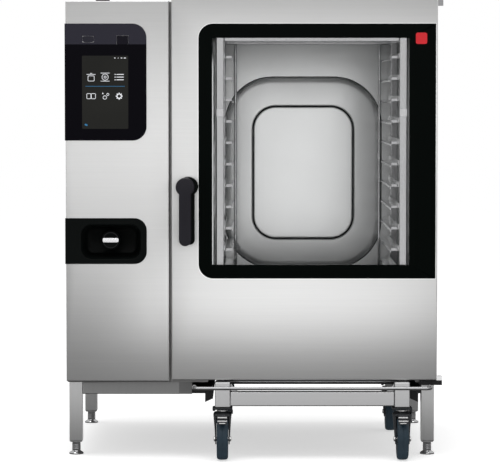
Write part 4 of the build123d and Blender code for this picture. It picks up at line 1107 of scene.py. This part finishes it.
# Painted highlight: a thin bright strip across the brace.
highlight_lip = bmesh.new()
block(highlight_lip, (inner_x[0] + 1 * mm, rack_front - 1.5 * mm, brace_high - 4.5 * mm),
      (inner_x[1] - 1 * mm, rack_front - 0.2 * mm, brace_high - 2.5 * mm))
piece("foot_brace_lip", highlight_lip, "trolley", rack_steel, soften=0.4 * mm)

# %% Castor parts
for corner in ("front_left", "front_right", "back_left", "back_right"):
    wheel_lo, wheel_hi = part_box(f"castor_wheel_{corner}")
    hub = (wheel_lo + wheel_hi) / 2
    swivel = Vector((hub.x, hub.y + 36 * mm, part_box(f"castor_fork_{corner}")[1].z))
    fork = bmesh.new()
    profile = [(9, 0), (14, 0), (15, -1.5), (15, -7), (24, -8), (26.5, -10), (26.5, -13),
               (24, -15), (9, -15), (9, 0)]
    turned(fork, swivel, (0, 0, 1), profile, 40)
    shape = ((18, -13), (18, -33), (-24, -98), (-30, -102), (-42, -102), (-49, -96),
             (-51, -82), (-27, -13))
    for side in (-1, 1):
        known = set(fork.faces)
        corners = [fork.verts.new(swivel + Vector((side * 18.4, dy, dz)) * mm) for dy, dz in shape]
        fork.faces.new(corners)
        for rounding_at in (1, 6):
            bmesh.ops.bevel(fork, geom=[corners[rounding_at]], offset=10 * mm, segments=5,
                            profile=0.5, affect="VERTICES", material=-1)
        cheek = next(f for f in fork.faces if f not in known)
        long_edges = [e for e in cheek.edges if e.calc_length() > 30 * mm]
        bmesh.ops.subdivide_edges(fork, edges=long_edges, cuts=2)
        grown = bmesh.ops.extrude_face_region(
            fork, geom=[f for f in fork.faces if f not in known])["geom"]
        for vert in verts_in(grown):
            taper = min(1, (swivel.z - 13 * mm - vert.co.z) / (60 * mm))
            vert.co.x += side * (9.2 - 6.0 * taper) * mm
    block_about(fork, swivel, (-23, 23), (-25, 17), (-19, -13))
    block_about(fork, swivel, (-23, 23), (12, 17), (-44, -18))
    piece(f"fork_pressing_{corner}", fork, f"castor_{corner}", fork_metal,
          [f"castor_fork_{corner}"], 1 * mm)
    metal = bmesh.new()
    profile = [(15.3, -2), (16.4, -2.6), (16.4, -5.6), (15.3, -6.2), (15.3, -2)]
    turned(metal, swivel, (0, 0, 1), profile, 40)
    axle = Vector((24 * mm, 0, 0))
    bar(metal, hub - axle, hub + axle, 5.9 * mm)
    for side in (-1, 1):
        profile = [(0, 0.4), (5.2, 0), (7, -0.9), (7.6, -2), (7.6, -4.6), (0, -4.6)]
        turned(metal, (hub.x + side * 26.2 * mm, hub.y, hub.z), (side, 0, 0), profile, 18)
    piece(f"fork_fittings_{corner}", metal, f"castor_{corner}", edge_steel, soften=0.6 * mm)
    profile = [(0, 0), (5, 0), (6.2, 1.2), (6.2, 5), (5, 6.2), (0, 6.2)]
    turned_piece(f"fork_bolt_{corner}", f"castor_{corner}", fork_metal,
                 swivel + Vector((25, -6, -8)) * mm, profile, 20, axis=(1, 0, 0))

    profile = [(44, -14), (48, -16.6), (54, -17), (58, -16.2), (60.6, -13.5), (62.1, -8),
               (62.5, -0.4), (61.9, 0), (62.5, 0.4), (62.1, 8), (60.6, 13.5), (58, 16.2),
               (54, 17), (48, 16.6), (44, 14), (44, -14)]
    scale = (wheel_hi.z - wheel_lo.z) / 2 / (62.5 * mm)
    turned_piece(f"tyre_{corner}", f"wheel_{corner}", tyre_rubber, hub,
                 [(r * scale, z) for r, z in profile], 72, [f"castor_wheel_{corner}"], (1, 0, 0))
    disc = bmesh.new()
    profile = [(6.3, -16), (13, -16), (14.5, -14), (16, -7), (38, -6), (40, -13),
               (45, -14.5), (45, 14.5), (40, 13), (38, 6), (16, 7), (14.5, 14), (13, 16),
               (6.3, 16), (6.3, -16)]
    turned(disc, hub, (1, 0, 0), [(r * scale, z) for r, z in profile], 60)
    spoke = block_about(disc, hub, (-12, 12), (-2, 2), (14.5, 39.5))
    arm = list({f for v in spoke for f in v.link_faces})
    for turn in range(1, 6):
        copy = bmesh.ops.duplicate(disc, geom=arm)["geom"]
        bmesh.ops.rotate(disc, cent=hub, matrix=Matrix.Rotation(turn * math.pi / 3, 3, "X"),
                         verts=verts_in(copy))
    piece(f"hub_{corner}", disc, f"wheel_{corner}", hub_plastic, soften=0.8 * mm)
    if corner.startswith("front"):
        lo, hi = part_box(f"brake_pedal_{corner}")
        pedal = bmesh.new()
        middle = (lo.x + hi.x) / 2
        low, high = Vector((middle, lo.y, lo.z)), Vector((middle, lo.y, hi.z))
        block_about(pedal, high, (-14, 14), (2, (hi.y - lo.y) / mm - 6), (-4, -1.2))
        block_about(pedal, high, (-15, 15), (0, 5), (-5.5, 0))
        for rib in range(6):
            along = high + Vector((0, 9 + rib * 6, -1.3)) * mm
            reach = Vector((12 * mm, 0, 0))
            bar(pedal, along - reach, along + reach, 1.2 * mm, 10)
        bar(pedal, (lo.x, hi.y - 4 * mm, hi.z - 3.5 * mm), (hi.x, hi.y - 4 * mm, hi.z - 3.5 * mm),
            3.9 * mm)
        toe = (wheel_lo.y - lo.y) / mm + 2.7
        block_about(pedal, low, (-15, 15), (toe, 2), (-1, 2.5))
        block_about(pedal, low, (-15, 15), (toe, toe + 2.5), (-14.5, 2))
        # Painted highlights: thin strips of brighter steel across the pedal's front draw the light
        # on its edges.
        highlight_strips = bmesh.new()
        for half, y, z0, z1 in ((14, 0, 3, 6), (14.5, toe, -6, -3), (9, toe, -12.5, -10)):
            block_about(highlight_strips, low, (-half, half), (y - 0.7, y + 0.2), (z0, z1))
        piece(f"pedal_ribs_{corner}", highlight_strips, f"pedal_{corner}", edge_steel, soften=0.2 * mm)
        piece(f"pedal_{corner}", pedal, f"pedal_{corner}", fork_metal,
              [f"brake_pedal_{corner}"], 0.8 * mm)

# %% [markdown]
# ## Back, roof and side details
# Screw heads are one small turned profile, repeated where the CAD node has them. The water
# inlets are threaded, so their profile steps in and out, and the louvre slots on the left get
# slanting blades that keep drips out.

# %% Small fittings
screws_lo, screws_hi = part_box("panel_screws")
screw_radius = 4.5 * mm
heads = bmesh.new()
rows = 7
row_pitch = (screws_hi.z - screws_lo.z - 2 * screw_radius) / (rows - 1)
profile = [(0, 1.2), (1.9, 1.2), (2.1, 2.4), (2.6, 2.5), (3.8, 1.9), (4.5, 0.4), (4.5, 0), (0, 0)]
for x in (screws_lo.x + screw_radius, screws_hi.x - screw_radius):
    for row in range(rows):
        z = screws_lo.z + screw_radius + row * row_pitch
        turned(heads, (x, screws_lo.y, z), (0, 1, 0), profile, 18)
piece("screw_heads", heads, "cabinet", bright_steel, ["panel_screws"])

back_face = casing_hi.y
side_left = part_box("side_panel_left")[0].x
inlet_height, drain_height, gland_height = 320 * mm, 300 * mm, 420 * mm
inlets = bmesh.new()
for x in (side_left + 90 * mm, side_left + 150 * mm):
    profile = [(7.2, 15), (11.4, 15)]
    for turn in range(6):
        profile += [(13.1, 13.6 - turn * 1.9), (11.9, 12.7 - turn * 1.9)]
    profile += [(13.1, 1.6), (13.1, 0), (9, 0), (9, -20), (7.2, -20), (7.2, 15)]
    turned(inlets, (x, back_face, inlet_height), (0, 1, 0), profile, 36)
profile = [(20.5, 12), (22, 12.3), (25, 12), (25, 8), (24, 7), (24, 0), (22, -38), (20.5, -38),
           (20.5, 12)]
turned(inlets, (side_left + 330 * mm, back_face, drain_height), (0, 1, 0), profile, 48)
profile = [(0, 10), (6, 10), (8, 8.5), (9.5, 4.5), (12.4, 4), (12.4, 0), (9, 0), (9, -20), (0, -20)]
turned(inlets, (side_left + 60 * mm, back_face, gland_height), (0, 1, 0), profile, 6)
piece("rear_connections", inlets, "cabinet", bright_steel, ["rear_fittings"])

vents_lo, vents_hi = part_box("roof_vents")
stubs = bmesh.new()
front_vent = (side_left + 95 * mm, door_front + 330 * mm, 22.5, vents_hi.z - vents_lo.z)
back_vent = (side_left + 190 * mm, back_face - 150 * mm, 40, vents_hi.z - vents_lo.z - 8 * mm)
for x, y, radius, height in (front_vent, back_vent):
    top = height / mm
    profile = [(radius - 3, -1.4), (radius - 3, top), (radius, top), (radius, top - 3),
               (radius - 0.8, top - 4), (radius - 0.8, 2.5), (radius - 0.1, 0.3),
               (radius - 3, -1.4)]
    turned(stubs, (x, y, vents_lo.z), (0, 0, 1), profile, 48)
piece("roof_stubs", stubs, "cabinet", black_metal, ["roof_vents"])

lowest_blade, blade_pitch = 323 * mm, 22 * mm
blades = bmesh.new()
for row in range(9):
    z = lowest_blade + row * blade_pitch
    made = block_about(blades, (side_left, back_face, z), (-1, 9), (-279, -101), (-0.5, 0.7))
    bmesh.ops.rotate(blades, cent=(side_left, back_face, z + 3 * mm), verts=made,
                     matrix=Matrix.Rotation(math.radians(-28), 3, "Y"))
piece("louvre_blades", blades, "cabinet", side_steel, soften=0.3 * mm)

# %% [markdown]
# ## Remaining nodes, and which light falls where
# The plain panels and the works inside keep their CAD meshes and only get a finish. Then every
# piece that has a light of its own is linked to that light's collection.

# %% Remaining nodes
dress(side_steel, "side_panel_left", "side_panel_right", "top_panel", "bottom_panel", "rear_panel")
dress(chamber_steel, "cavity_liner", "air_baffle", "sealing_plate", "fan_upper", "fan_lower")
dress(wool, "insulation")
dress(black_metal, "trolley_guides", "fan_motors", "steam_generator")
dress(bright_steel, "heating_rings")

# %% Pieces for each light
lit_by = {
    fronts: ["door_sheet", "column_sheet", "door_glass_edge", "shower_push_bar"],
    chamber: ["chamber_back_pressing", "cavity_liner", "air_baffle"],
    rack_parts: ["rack_cage", "rack_stop_blocks", "rack_stop_rods", "rails_left", "rails_right"],
    low_steel: ["stand_legs", "trolley_tubes", "pull_rod_bent", "foot_brace_lip", "door_knuckles"]
    + [obj.name for obj in bpy.data.objects
       if obj.name.startswith(("foot_turned", "fork_fittings", "pedal_"))],
    shell: ["side_panel_left", "side_panel_right", "rear_panel", "top_panel", "rear_connections",
            "screw_heads", "louvre_blades", "stand_rails", "stand_legs", "door_sheet",
            "column_sheet"],
}
for light_group, names in lit_by.items():
    for name in names:
        light_group.objects.link(frame["nodes"].get(name) or bpy.data.objects[name])
